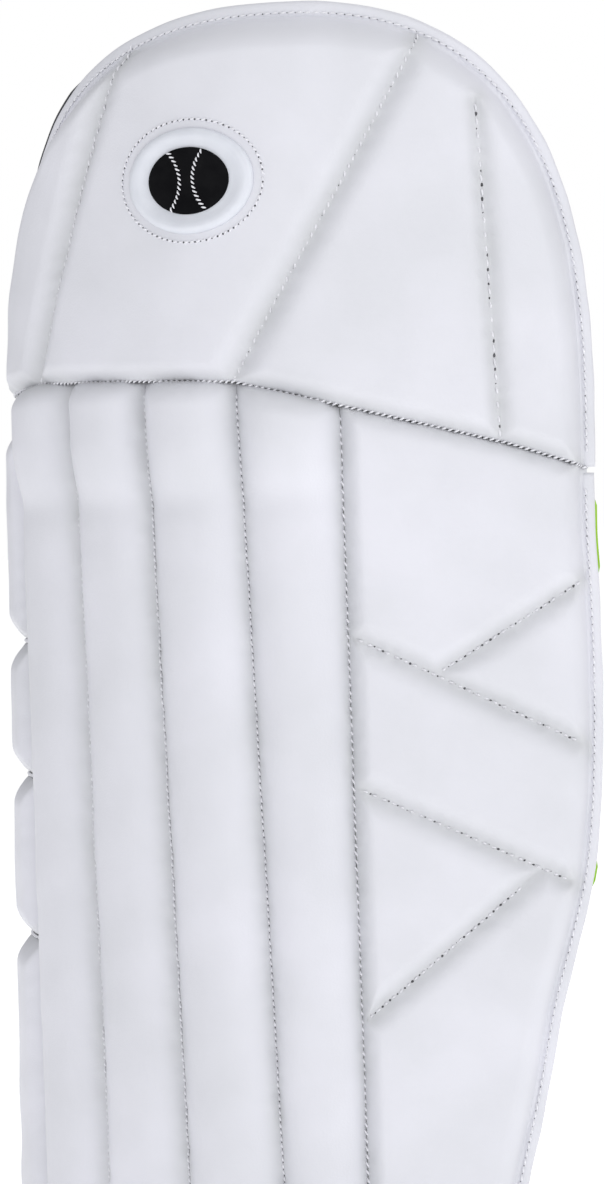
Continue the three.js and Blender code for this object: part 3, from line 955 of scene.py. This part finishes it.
def make_badge():
    """A moulded oval with a raised rim, and a plain black ball with its two seams."""
    plate = turned("badge_moulding", MOULDING_PROFILE, BADGE_WHITE, "badge_base")
    ball = turned("badge_ball_disc", BALL_PROFILE, BADGE_BLACK, "badge_ball")
    work = Sewing(103)
    edge = on_badge(np.linspace(0, 2 * math.pi, 73), 1.13, 1.15)
    work.sew(np.stack(edge, -1), hat_depth, pitch=2.6, slant=1.1)
    around = work.finish("badge")
    seams = Sewing(104)
    (s0, z0), (wide, tall) = BADGE_AT, BADGE_SIZE
    height = np.linspace(-0.56, 0.56, 24)
    for bow in (-1, 1):
        s = s0 + bow * wide * (0.10 + 0.55 * height**2)
        line = np.stack((s, z0 + tall * height), -1)
        seams.sew(line, hat_depth, lift=BALL_PROFILE[-1][1], pitch=1.9, slant=1.4, hole=0.01)
    threads, holes = seams.finish("badge_ball", radius=0.4)
    bpy.data.objects.remove(holes)
    ride_all((plate, ball, *around, threads), "top_hat")


# ---------------------------------------------------------------- shin and large wing


def make_rolls():
    for roll, (left, right) in enumerate(zip(ROLL_SEAMS, ROLL_SEAMS[1:])):
        s = columns_between(left + 0.05, right - 0.05, 33)
        s, z = grid_under(level(BAND_TOP + 0.5), lambda s: hat_seam(s) - 0.05, s, 260)
        near = np.minimum(s - left, right - s)
        s = fan(s, z)
        near = np.minimum(near, to_line(s, z, HAT_SEAM))
        nodes = (f"roll_cover_{roll + 1}", f"roll_foam_{roll + 1}")
        cover = padded_cover(f"shin_roll_{roll + 1}", s, z, roll_depth(s, z), near, 4, 0.9, *nodes)
        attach(cover, "shin_guard")


def foot_arch(s):
    """How high the pad's lower edge arches over the instep."""
    return np.maximum(0, 10 * (1 - ((s - 2) / 60) ** 2))


def make_instep():
    s = columns_between(INNER_SEAM + 0.5, OUTER_SEAM - 0.5, 110)
    s, z = grid_under(foot_arch, level(BAND_TOP), s, 22)
    edge = np.minimum(z - foot_arch(s), BAND_TOP - z)
    ends = np.minimum(s - INNER_SEAM, OUTER_SEAM - s)
    depth = COVER_BASE + 1.2 + 7 * np.minimum(shoulder(edge, 9, 2.4), shoulder(ends, 9, 2))
    depth += 0.3 * ripple(s, z, 11, 51)
    band = padded_cover("instep_padded_band", s, z, depth, edge, 3, 0.6, "instep_band")
    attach(band, "shin_guard")


def sew_shin():
    work = Sewing(111)
    for s, hole in zip(ROLL_SEAMS[1:4], (0.2, 0.2, 0.34)):
        z = np.linspace(42, hat_seam(s) - 5, 30)
        line = np.stack((fan(s, z), z), -1)
        work.sew(line, roll_depth, lift=0.3, pitch=2.9, slant=0.5, hole=hole)
    line = [(OUTER_SEAM, 6), (OUTER_SEAM, hat_seam(OUTER_SEAM) - 4)]
    work.sew(line, wing_depth, lift=0.2, slant=1.5, hole=0.2)
    line = [(s, BAND_TOP) for s in np.linspace(INNER_SEAM + 3, OUTER_SEAM - 3, 30)]
    work.sew(line, level(RIM_LEVEL + 0.6), pitch=3.2, slant=1.2)
    work.ride("shin", "shin_guard")


def wing_grid(columns=84, rows=270):
    """A grid of (s, z) over the large wing."""
    start = OUTER_SEAM + 0.05
    across, up = np.meshgrid(columns_between(0, 1, columns), np.linspace(0, 1, rows), indexing="ij")
    z = up * 430
    for _ in range(4):
        s = start + across * (wing_edge(z) - 1 - start)
        z = up * (hat_seam(s) - 0.05)
    return s, z


# Short stretches of the wing's edge where the lime lining shows past the binding, from high to low
WING_LIPS = {"upper": (416, 374), "lower": (264, 243)}


def make_wing():
    s, z = wing_grid()
    seams = measured(s, z, WING_SEAMS)
    inside = s - OUTER_SEAM
    near = nearest(seams, inside, to_line(s, z, HAT_SEAM))
    foams = [f"wing_foam_{i + 1}" for i in range(5)]
    cover = padded_cover("wing_padded_cover", s, z, wing_depth(s, z), near, 5, 0.85, "wing_cover", *foams)
    thick = LINING_THICK + 1.6 * shoulder(nearest(seams, inside, to_line(s, z, WING_OUTLINE)), 14)
    lining = padded_lining("wing_padded_lining", "wing_lining", s, z, thick, LIME_CLOTH)
    edge = binding("wing_edge_binding", WING_OUTLINE)
    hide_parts("wing_binding")
    lips = []
    for name, (high, low) in WING_LIPS.items():
        outline = wing_outline(high, low, 20)
        lips.append(binding(f"wing_lining_lip_{name}", outline, (1.2, 4.4), 3.6, LIME_CLOTH, 8))
    ride_all((cover, lining, edge, *lips), "shin_guard")


def sew_wing():
    work = Sewing(121)
    for line in WING_LINES:
        start, end = np.array(line)
        trimmed = [start + (end - start) * t for t in (0.03, 0.9)]
        work.sew(trimmed, wing_depth, lift=0.5, pitch=4.2, slant=0.2, share=0.5, hole=0.6)
    work.sew_rim(WING_OUTLINE, hole=0.26)
    work.ride("wing", "shin_guard")


# ---------------------------------------------------------------- inner wing

INNER_LOW, INNER_HIGH = INNER_END + 2, INNER_SEAM - 0.5
INNER_CORNER = 7
# Half the height of each dark strip of painted shade between the cushions
NOTCH_SHADE_HALF = 2.6


def inner_grid(low, high, rows, high_edge=INNER_HIGH, columns=40):
    """A grid of (s, z) across the inner wing, between two heights."""
    return grid_under(level(low), level(high), columns_between(INNER_LOW, high_edge, columns), rows)


def make_cushions():
    for i, (low, high) in enumerate(zip(CUSHION_BREAKS, CUSHION_BREAKS[1:])):
        number = 4 - i
        s, z = inner_grid(low + 0.3, high - 0.3, round((high - low) / 1.7), columns=54)
        near = np.minimum(z - low, high - z)
        nodes = (f"inner_cushion_cover_{number}", f"inner_cushion_foam_{number}")
        depth = inner_depth(s, z)
        cushion = padded_cover(f"inner_wing_cushion_{number}", s, z, depth, near, 6, 0.85, *nodes)
        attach(cushion, "inner_wing")


def make_notch_shades():
    """Dark strips of painted shade in the notches between the inner wing's cushions."""
    for i, height in enumerate(CUSHION_BREAKS[1:-1]):
        s, z = inner_grid(height - NOTCH_SHADE_HALF, height + NOTCH_SHADE_HALF, 9, INNER_HIGH - 3)
        depth = RIM_LEVEL + 0.9 + 0.5 * shoulder(NOTCH_SHADE_HALF - np.abs(z - height), NOTCH_SHADE_HALF)
        # Painted shade: a dark cloth strip lies in the foot of each notch
        strip = shell(f"inner_wing_notch_shade_{i + 1}", s, z, depth, 0.8, DARK_CLOTH)
        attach(strip, "inner_wing")


def make_inner_wing():
    make_cushions()
    make_notch_shades()
    s, z = inner_grid(1, CUSHION_BREAKS[0] - 0.3, 18)
    facing = shell("inner_wing_foot_facing", s, z, RIM_LEVEL + 0.4 * shoulder(z, 6), SKIN, LEATHER)
    s, z = inner_grid(2, INNER_TOP + 0.5, 220, INNER_SEAM - 3, 50)
    thick = LINING_THICK + 1.5 * shoulder(from_breaks(z, CUSHION_BREAKS[1:-1]), 14)
    lining = padded_lining("inner_wing_padded_lining", "inner_lining", s, z, thick, DARK_CLOTH)
    turn = np.linspace(0, math.pi / 2, 8)
    round_s = INNER_LOW + INNER_CORNER * (1 - np.cos(turn))
    round_z = INNER_TOP - INNER_CORNER * (1 - np.sin(turn))
    outline = [(INNER_LOW, 3), *zip(round_s, round_z), (INNER_SEAM - 6, INNER_TOP)]
    edge = binding("inner_wing_edge_binding", outline)
    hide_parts("inner_binding")
    foot = foot_tape("inner_wing_foot_binding", np.linspace(INNER_SEAM - 2, INNER_LOW, 40), np.zeros(40))
    ride_all((facing, lining, edge, foot), "inner_wing")
    work = Sewing(131)
    for z in CUSHION_BREAKS[:-1]:
        work.sew([(INNER_SEAM - 3, z), (INNER_LOW + 3, z)], level(RIM_LEVEL + 1.5), slant=1.2)
    work.sew([(INNER_SEAM, 5), (INNER_SEAM, INNER_TOP - 5)], level(RIM_LEVEL + 0.5), slant=1.4)
    work.sew_rim(outline)
    work.ride("inner_wing", "inner_wing")


# ---------------------------------------------------------------- inside of the pad

BOLSTER_FACE = -5.8
BOLSTER_CORNER = 8
SLAB_SHARE = 0.78
WELT_DEPTH, WELT_RADIUS = 1.6, 1.7
KNEE_SPAN, KNEE_CHANNELS = (-76, 82), (-24, 30)
CALF_CHANNELS, SMALL_CALF_CHANNELS = (214, 276, 338), (130, 204, 278, 352)

# Name, CAD node, body, place across, place up, thickness, and where channels are sewn across it
BOLSTERS = (
    ("knee_bolster_top", "knee_bolster_upper", "shin_guard", KNEE_SPAN, (388, 436), 20, KNEE_CHANNELS),
    ("knee_bolster_bottom", "knee_bolster_lower", "shin_guard", KNEE_SPAN, (322, 370), 20, KNEE_CHANNELS),
    ("calf_bolster_large", "calf_bolster_outer", "shin_guard", (96, 152), (150, 400), 22, CALF_CHANNELS),
    ("calf_bolster_small", "calf_bolster_inner", "inner_wing", (-138, -98), (60, 424), 20, SMALL_CALF_CHANNELS),
)


def foot_tape(name, s, lift):
    """Tape folded round the pad's bottom edge, which stands on the ground."""
    return binding(name, np.stack((s, 3.4 + lift), -1), reach=(-7.5, 3.2), depth=6.1)


def below_hat(gap):
    return lambda s: hat_seam(s) - gap


def make_seam_tapes():
    """Tapes that cover the boards' edges beside the seams."""
    shin_side = np.linspace(INNER_SEAM + 0.5, INNER_SEAM + 2.8, 4)
    inner_side = np.linspace(INNER_SEAM - 2.8, INNER_SEAM - 0.5, 4)
    across = np.linspace(INNER_SEAM + 3.2, OUTER_SEAM - 0.6, 90)
    foot, hat = level(4), below_hat(0.7)
    tapes = (
        ("shin_side_seam_tape", shin_side, foot, hat, LIME_CLOTH, "shin_guard"),
        ("inner_side_seam_tape", inner_side, foot, level(INNER_TOP - 1), DARK_CLOTH, "inner_wing"),
        ("shin_top_seam_tape", across, below_hat(3.7), hat, LIME_CLOTH, "shin_guard"),
    )
    for name, s, low, high, finish, body in tapes:
        s, z = grid_under(low, high, s, 60)
        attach(shell(name, s, z, level(LINING_FRONT - 0.1)(s), 2.6, finish), body)


def make_shin_lining():
    s = columns_between(INNER_SEAM + 3, OUTER_SEAM - 0.5, 130)
    s, z = grid_under(lambda s: foot_arch(s) + 2, below_hat(4), s, 190)
    channels = from_breaks(s, range(-56, 88, 28))
    ends = np.minimum(z - foot_arch(s), hat_seam(s) - z)
    thick = SHIN_LINING_THICK + 1.9 * shoulder(np.minimum(channels, ends), 12)
    lining = padded_lining("shin_padded_lining", "shin_lining", s, z, thick, LIME_CLOTH)
    s = np.linspace(wing_edge(1) - 6, INNER_SEAM + 1, 120)
    foot = foot_tape("shin_foot_binding", s, np.where(s < OUTER_SEAM, foot_arch(s), 0))
    ride_all((lining, foot), "shin_guard")


def bolster_shape(name, s0, s1, z0, z1, thick):
    """A closed slab with rounded sides, standing on the lining."""
    s, z = grid_under(level(z0 + 2), level(z1 - 2), columns_between(s0 + 2, s1 - 2, 40), 60)
    q = np.minimum(np.minimum(s - s0, s1 - s), np.minimum(z - z0, z1 - z))
    body = 1 + thick * SLAB_SHARE * shoulder(q - 2, 14, 2.4)
    return shell(name, s, z, level(BOLSTER_FACE)(s), body, LEATHER)


def swell(piece, voxel=4.5, pressure=4, cap=5):
    """Swells a closed piece as stuffed cloth, pinned where it lies on the lining."""
    bpy.context.view_layer.objects.active = piece
    remesh = piece.modifiers.new("voxels", "REMESH")
    remesh.mode = "VOXEL"
    remesh.voxel_size = voxel * MM
    bpy.ops.object.modifier_apply(modifier=remesh.name)
    before = vertices_of(piece.data)
    depth = locate(before)[2]
    pins = piece.vertex_groups.new(name="pins")
    pins.add([int(i) for i in np.nonzero(depth > BOLSTER_FACE - 2)[0]], 1, "REPLACE")
    cloth = piece.modifiers.new("cloth", "CLOTH")
    cloth.settings.use_pressure = True
    cloth.settings.uniform_pressure_force = pressure
    cloth.settings.vertex_group_mass = pins.name
    cloth.settings.effector_weights.gravity = 0
    for number in range(1, 21):
        bpy.context.scene.frame_set(number)
    shown = piece.evaluated_get(bpy.context.evaluated_depsgraph_get()).to_mesh()
    moved = vertices_of(shown) - before
    size = np.linalg.norm(moved, axis=1)
    moved *= np.minimum(1, cap * MM / np.maximum(size, 1e-9))[:, None]
    piece.modifiers.remove(cloth)
    piece.data.vertices.foreach_set("co", (before + moved).ravel())
    bpy.context.scene.frame_set(1)
    finer = piece.modifiers.new("finer", "SUBSURF")
    finer.levels = finer.render_levels = 1
    bpy.ops.object.modifier_apply(modifier=finer.name)
    piece.data.shade_smooth()


def vertices_of(mesh):
    points = np.zeros(len(mesh.vertices) * 3)
    mesh.vertices.foreach_get("co", points)
    return points.reshape(-1, 3)


def crease(piece, thick, lines, width=9, share=0.5):
    """Sews channels into a bolster along lines of (s, z) points."""
    s, z, d = locate(vertices_of(piece.data))
    near = np.min([to_line(s, z, line) for line in lines], axis=0)
    pull = 1 - share * (1 - shoulder(near, width))
    d = np.clip(d, BOLSTER_FACE - thick, BOLSTER_FACE)
    d = BOLSTER_FACE + (d - BOLSTER_FACE) * pull
    d -= 0.25 * ripple(s, z, 16, 61) * (d < BOLSTER_FACE - 3)
    piece.data.vertices.foreach_set("co", place(s, z, d).ravel())
    # The seam map, where the leather paints shade in the sewn channels
    store_value(piece, "seam", groove_map(near, 3))


def rounded_box(s0, s1, z0, z1, corner):
    """A closed (s, z) outline of a box with round corners."""
    outline = []
    for quarter in range(4):
        angle = np.linspace(0, math.pi / 2, 6) + quarter * math.pi / 2
        s = s1 - corner if quarter in (0, 3) else s0 + corner
        z = z1 - corner if quarter < 2 else z0 + corner
        outline += list(zip(s + corner * np.cos(angle), z + corner * np.sin(angle)))
    return np.array(outline + outline[:1])


def make_bolster(name, node, body, span, tall, thick, channels):
    """A stuffed bolster on the lining, with channels sewn across it and a welt round its foot."""
    (s0, s1), (z0, z1) = span, tall
    piece = bolster_shape(name, s0, s1, z0, z1, thick)
    swell(piece)
    upright = (s1 - s0) < (z1 - z0)
    crease(piece, thick, [((s0, c), (s1, c)) if upright else ((c, z0), (c, z1)) for c in channels])
    say_soft(piece, 0.8, node)
    foot = rounded_box(s0, s1, z0, z1, BOLSTER_CORNER)
    welt = piping(f"{name}_piping", foot, BOLSTER_FACE - WELT_DEPTH, WELT_RADIUS)
    ride_all((piece, welt), body)


def piping(name, outline, depth, radius):
    """A thin round welt along a closed outline of (s, z) points."""
    line = resample(outline, 2.5)[:-1]
    aside = sideways(np.concatenate((line[-1:], line, line[:1])))[1:-1]
    turn = np.arange(8) * math.pi / 4
    s = line[:, :1] + aside[:, :1] * radius * np.cos(turn)
    z = line[:, 1:] + aside[:, 1:] * radius * np.cos(turn)
    rings = place(s, z, depth + radius * np.sin(turn))
    faces = grid_faces(*rings.shape[:2], wrap_rows=True, wrap_columns=True)
    piece = mesh_object(name, rings, faces, BINDING)
    fix_normals(piece)
    return piece


# ---------------------------------------------------------------- straps

# Name, height, width, and the large wing's edge there
STRAPS = (("knee", 388, 50, 195.5), ("calf", 245, 50, 172), ("ankle", 92, 38, 140))
STRAP_DEPTH = LINING_BACK - 4
STRAP_THICK, PATCH_THICK, TAB_THICK, STRAP_GAP = 2.4, 1, 2, 0.5
STRAP_END, STRAP_ASIDE, STRAP_BELLY = (26, 20), 20, 66

# How far from the wing's edge, and how deep, each point of a strap's sewn end lies
ANCHOR_LINE = (
    (-36, LINING_BACK - 1),
    (-24, LINING_BACK - 1),
    (-14, LINING_BACK - 1.4),
    (-8, LINING_BACK - 2.8),
    (-4, STRAP_DEPTH),
)


def strap_curve(edge, height, t):
    """Plan points of a strap's middle, in millimetres, and the direction towards the leg at each."""
    start = place_flat(edge - 4, height, STRAP_DEPTH)[:2]
    inner = place_flat(INNER_END + 6, height, STRAP_DEPTH)[:2]
    end = inner + STRAP_END
    bend = np.array([(start[0] + inner[0]) / 2 + STRAP_ASIDE, max(start[1], inner[1]) + STRAP_BELLY])
    t = np.asarray(t)[:, None]
    points = (1 - t) ** 2 * start + 2 * t * (1 - t) * bend + t**2 * end
    ahead = 2 * (1 - t) * (bend - start) + 2 * t * (end - bend)
    ahead /= np.linalg.norm(ahead, axis=1)[:, None]
    return points, np.stack((-ahead[:, 1], ahead[:, 0]), -1)


def lifted(plan, height):
    """Plan points at one or more heights, in metres in the row frame."""
    height = np.broadcast_to(height, plan.shape[:-1])[..., None]
    return (np.concatenate((plan, height), -1) + ORIGIN) * MM


def tape(name, points, inward, height, width, thick, finish, crown=0.0, round_ends=9):
    """A flat band along plan points, standing upright, with the direction towards the leg at each."""
    travel = travelled(points)
    at = np.linspace(0, travel[-1], max(6, round(travel[-1] / 2)))
    points, inward = read(at, travel, points), read(at, travel, inward)
    inward /= np.linalg.norm(inward, axis=1)[:, None]
    from_end = np.minimum(at, travel[-1] - at)
    narrow = round_ends - np.sqrt(np.maximum(0, round_ends**2 - np.maximum(0, round_ends - from_end) ** 2))
    across, flat = section(32, 0.35, 0.6)
    half = width / 2 - narrow[:, None]
    body = thick / 2 * flat * (1 + crown * (1 - across**2))
    body = body + 0.12 * ripple(at[:, None], across[None, :] * width, 30, 71)
    plan = points[:, None, :] + inward[:, None, :] * body[..., None]
    piece = band_mesh(name, lifted(plan, height + half * across), finish)
    store_surface(piece, np.stack(np.broadcast_arrays(at[:, None], half * across), -1).reshape(-1, 2))
    return piece


def sew_strap(name, points, inward, height, width, face, seed, boxes):
    """Stitches along both edges of a strap's outer face, and a box with a cross at each of its ends."""
    work = Sewing(seed)
    out = points - inward * face
    normals = np.concatenate((-inward, np.zeros((len(inward), 1))), -1)
    for side in (-1, 1):
        line = lifted(out, height + side * (width / 2 - 4))
        work.along(line[3:-3], normals[3:-3], pitch=3.2, slant=0.1, hole=0.3)
    travel = travelled(points)
    half = width / 2 - 8
    for start, end in boxes:
        around = (start, -half), (end, -half), (end, half), (start, half), (start, -half), (end, half)
        for (a0, h0), (a1, h1) in zip(around, around[1:]):
            at, up = np.linspace(a0, a1, 12), np.linspace(h0, h1, 12)
            line = lifted(read(at, travel, out), height + up)
            work.along(line, read(at, travel, normals), pitch=2.8, slant=0.1, hole=0.25)
    return work.finish(name, radius=0.38)


def make_strap(name, height, width, edge):
    points, inward = strap_curve(edge, height, np.linspace(0, 1, 160))
    strap = tape(f"{name}_strap_webbing", points, inward, height, width, STRAP_THICK, WEBBING, crown=0.25)
    say_soft(strap, 0.3, f"{name}_strap")
    face = STRAP_THICK / 2 * 1.1
    end = travelled(points)[-1]
    boxes = ((6, 30), (end - 34, end - 10))
    sewn = sew_strap(f"{name}_strap", points, inward, height, width, face, 200 + height, boxes)
    middle = STRAP_THICK / 2 + STRAP_GAP + PATCH_THICK / 2
    spots, ways = strap_curve(edge, height, np.linspace(0.74, 0.98, 60))
    patch = tape(f"{name}_hook_tape", spots + ways * middle, ways, height, width - 8, PATCH_THICK, HOOK_TAPE)
    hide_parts(f"{name}_hook_patch")
    ride_all((strap, *sewn, patch), f"{name}_strap")
    make_loop_tab(name, height, width, edge)
    make_anchor(name, height, width, edge)


def make_loop_tab(name, height, width, edge):
    """The tab on the inner wing that the strap's hook tape grips."""
    middle = STRAP_THICK / 2 + 2 * STRAP_GAP + PATCH_THICK + TAB_THICK / 2
    spots, ways = strap_curve(edge, height, np.linspace(0.68, 0.97, 60))
    depth = LINING_BACK - 1 - TAB_THICK / 2
    root = [place_flat(INNER_END + inset, height, depth)[:2] for inset in (6, 16)]
    spots = soften(np.concatenate((spots + ways * middle, root)))
    ways = sideways(spots)
    tab = tape(f"{name}_loop_pile_tab", spots, ways, height, width - 2, TAB_THICK, LOOP_TAPE, round_ends=5)
    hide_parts(f"{name}_loop_tab")
    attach(tab, "inner_wing")


def soften(points, spacing=2, rounds=6):
    """Evens out a plan line and rounds off its corners, keeping its ends."""
    travel = travelled(points)
    points = read(np.linspace(0, travel[-1], round(travel[-1] / spacing)), travel, points)
    for _ in range(rounds):
        points[1:-1] = (points[:-2] + 2 * points[1:-1] + points[2:]) / 4
    return points


def make_anchor(name, height, width, edge):
    """The sewn end that holds a strap to the large wing's lining."""
    line = [place_flat(edge + back, height, depth)[:2] for back, depth in ANCHOR_LINE]
    spots = soften(np.stack(line), rounds=3)
    ways = -sideways(spots)
    anchor = tape(f"{name}_strap_anchor", spots, ways, height, width - 2, 1.6, WEBBING, round_ends=3)
    boxes = ((4, 20),)
    sewn = sew_strap(f"{name}_strap_anchor", spots, ways, height, width - 4, 0.9, 300 + height, boxes)
    ride_all((anchor, *sewn), "shin_guard")


# ---------------------------------------------------------------- studio

VIEW_AZIMUTH, VIEW_ELEVATION, VIEW_ROLL = 36.6, 2.67, 2.92
AIM_ASIDE, AIM_HEIGHT = 0.01558, 0.3755
VIEW_TALL = 0.5156
LENS, SENSOR = 106, 36
WORLD_LIGHT, WORLD_COLOUR = 0.47, (0.97, 0.98, 1, 1)
LIGHT_AIM = Vector((0, 0, 0.35))
FLOOR_RADIUS, FLOOR_GLOW = 12, 0.62

# Each light's name, azimuth from the camera's, elevation, distance, size and power
LIGHTS = (
    ("key", 45, 25, 1.8, 1.1, 5.7),
    ("front", -8, 20, 2.2, 1.4, 5.6),
    ("top", 0, 80, 1.8, 1.6, 5),
    ("behind", 150, 40, 2.2, 1.6, 5),
)


def finish_hidden_parts():
    """Materials for the CAD parts that stay: the boards, and the canes inside the rolls."""
    for name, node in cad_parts.items():
        for part, finish in (("_board", BOARD), ("roll_cane", CANE)):
            if part in name:
                node.data.materials.clear()
                node.data.materials.append(finish)


def towards(azimuth, elevation):
    """The direction from the pad to an azimuth, from the front, and an elevation, in degrees."""
    turn, lift = math.radians(azimuth), math.radians(elevation)
    return Vector((math.sin(turn) * math.cos(lift), -math.cos(turn) * math.cos(lift), math.sin(lift)))


def looking_from(back):
    """The rotation of a lamp or camera that looks the other way."""
    return (-back).to_track_quat("-Z", "Y").to_matrix()


def make_camera():
    right = towards(VIEW_AZIMUTH + 90, 0)
    back = towards(VIEW_AZIMUTH, VIEW_ELEVATION)
    data = bpy.data.cameras.new("camera")
    data.lens, data.sensor_width = LENS, SENSOR
    camera = add_object("camera", data)
    camera.location = right * AIM_ASIDE + Vector((0, 0, AIM_HEIGHT)) + back * VIEW_TALL * LENS / SENSOR
    roll = Matrix.Rotation(-math.radians(VIEW_ROLL), 3, "Z")
    camera.rotation_euler = (looking_from(back) @ roll).to_euler()
    bpy.context.scene.camera = camera


def make_lights():
    """Soft square lights, aimed at the pad's middle."""
    for name, azimuth, elevation, distance, size, power in LIGHTS:
        back = towards(VIEW_AZIMUTH + azimuth, elevation)
        data = bpy.data.lights.new(name, "AREA")
        data.size, data.energy = size, power
        lamp = add_object(name, data)
        lamp.location = LIGHT_AIM + back * distance
        lamp.rotation_euler = looking_from(back).to_euler()


def make_world():
    """A dim studio world, which the camera itself sees as plain white."""
    world = bpy.data.worlds.new("studio")
    world.use_nodes = True
    nodes, links = world.node_tree.nodes, world.node_tree.links
    light, seen = nodes["Background"], nodes.new("ShaderNodeBackground")
    light.inputs["Color"].default_value = WORLD_COLOUR
    light.inputs["Strength"].default_value = WORLD_LIGHT
    seen.inputs["Color"].default_value = (1, 1, 1, 1)
    either, ray = nodes.new("ShaderNodeMixShader"), nodes.new("ShaderNodeLightPath")
    links.new(ray.outputs["Is Camera Ray"], either.inputs["Fac"])
    links.new(light.outputs[0], either.inputs[1])
    links.new(seen.outputs[0], either.inputs[2])
    links.new(either.outputs[0], nodes["World Output"].inputs["Surface"])
    bpy.context.scene.world = world
    bpy.context.scene.view_settings.view_transform = "Standard"


def make_floor():
    finish = Finish("pale_floor", 0.8)
    finish.paint(finish.colour(finish.noise(3, 2), (0.3, (0.9, 0.9, 0.9)), (0.7, (0.92, 0.92, 0.92))))
    finish.shader.inputs["Emission Color"].default_value = (1, 1, 1, 1)
    finish.shader.inputs["Emission Strength"].default_value = FLOOR_GLOW
    turn = np.linspace(0, 2 * math.pi, 96, endpoint=False)
    edge = FLOOR_RADIUS * np.stack((np.cos(turn), np.sin(turn), 0 * turn), -1)
    mesh_object("floor", edge, [tuple(range(len(turn)))], finish.material)


make_camera()
make_world()
make_lights()
make_floor()
make_hat()
sew_hat()
make_badge()
make_rolls()
make_instep()
sew_shin()
make_wing()
sew_wing()
make_inner_wing()
make_shin_lining()
make_seam_tapes()
for bolster in BOLSTERS:
    make_bolster(*bolster)
for strap in STRAPS:
    make_strap(*strap)
finish_hidden_parts()
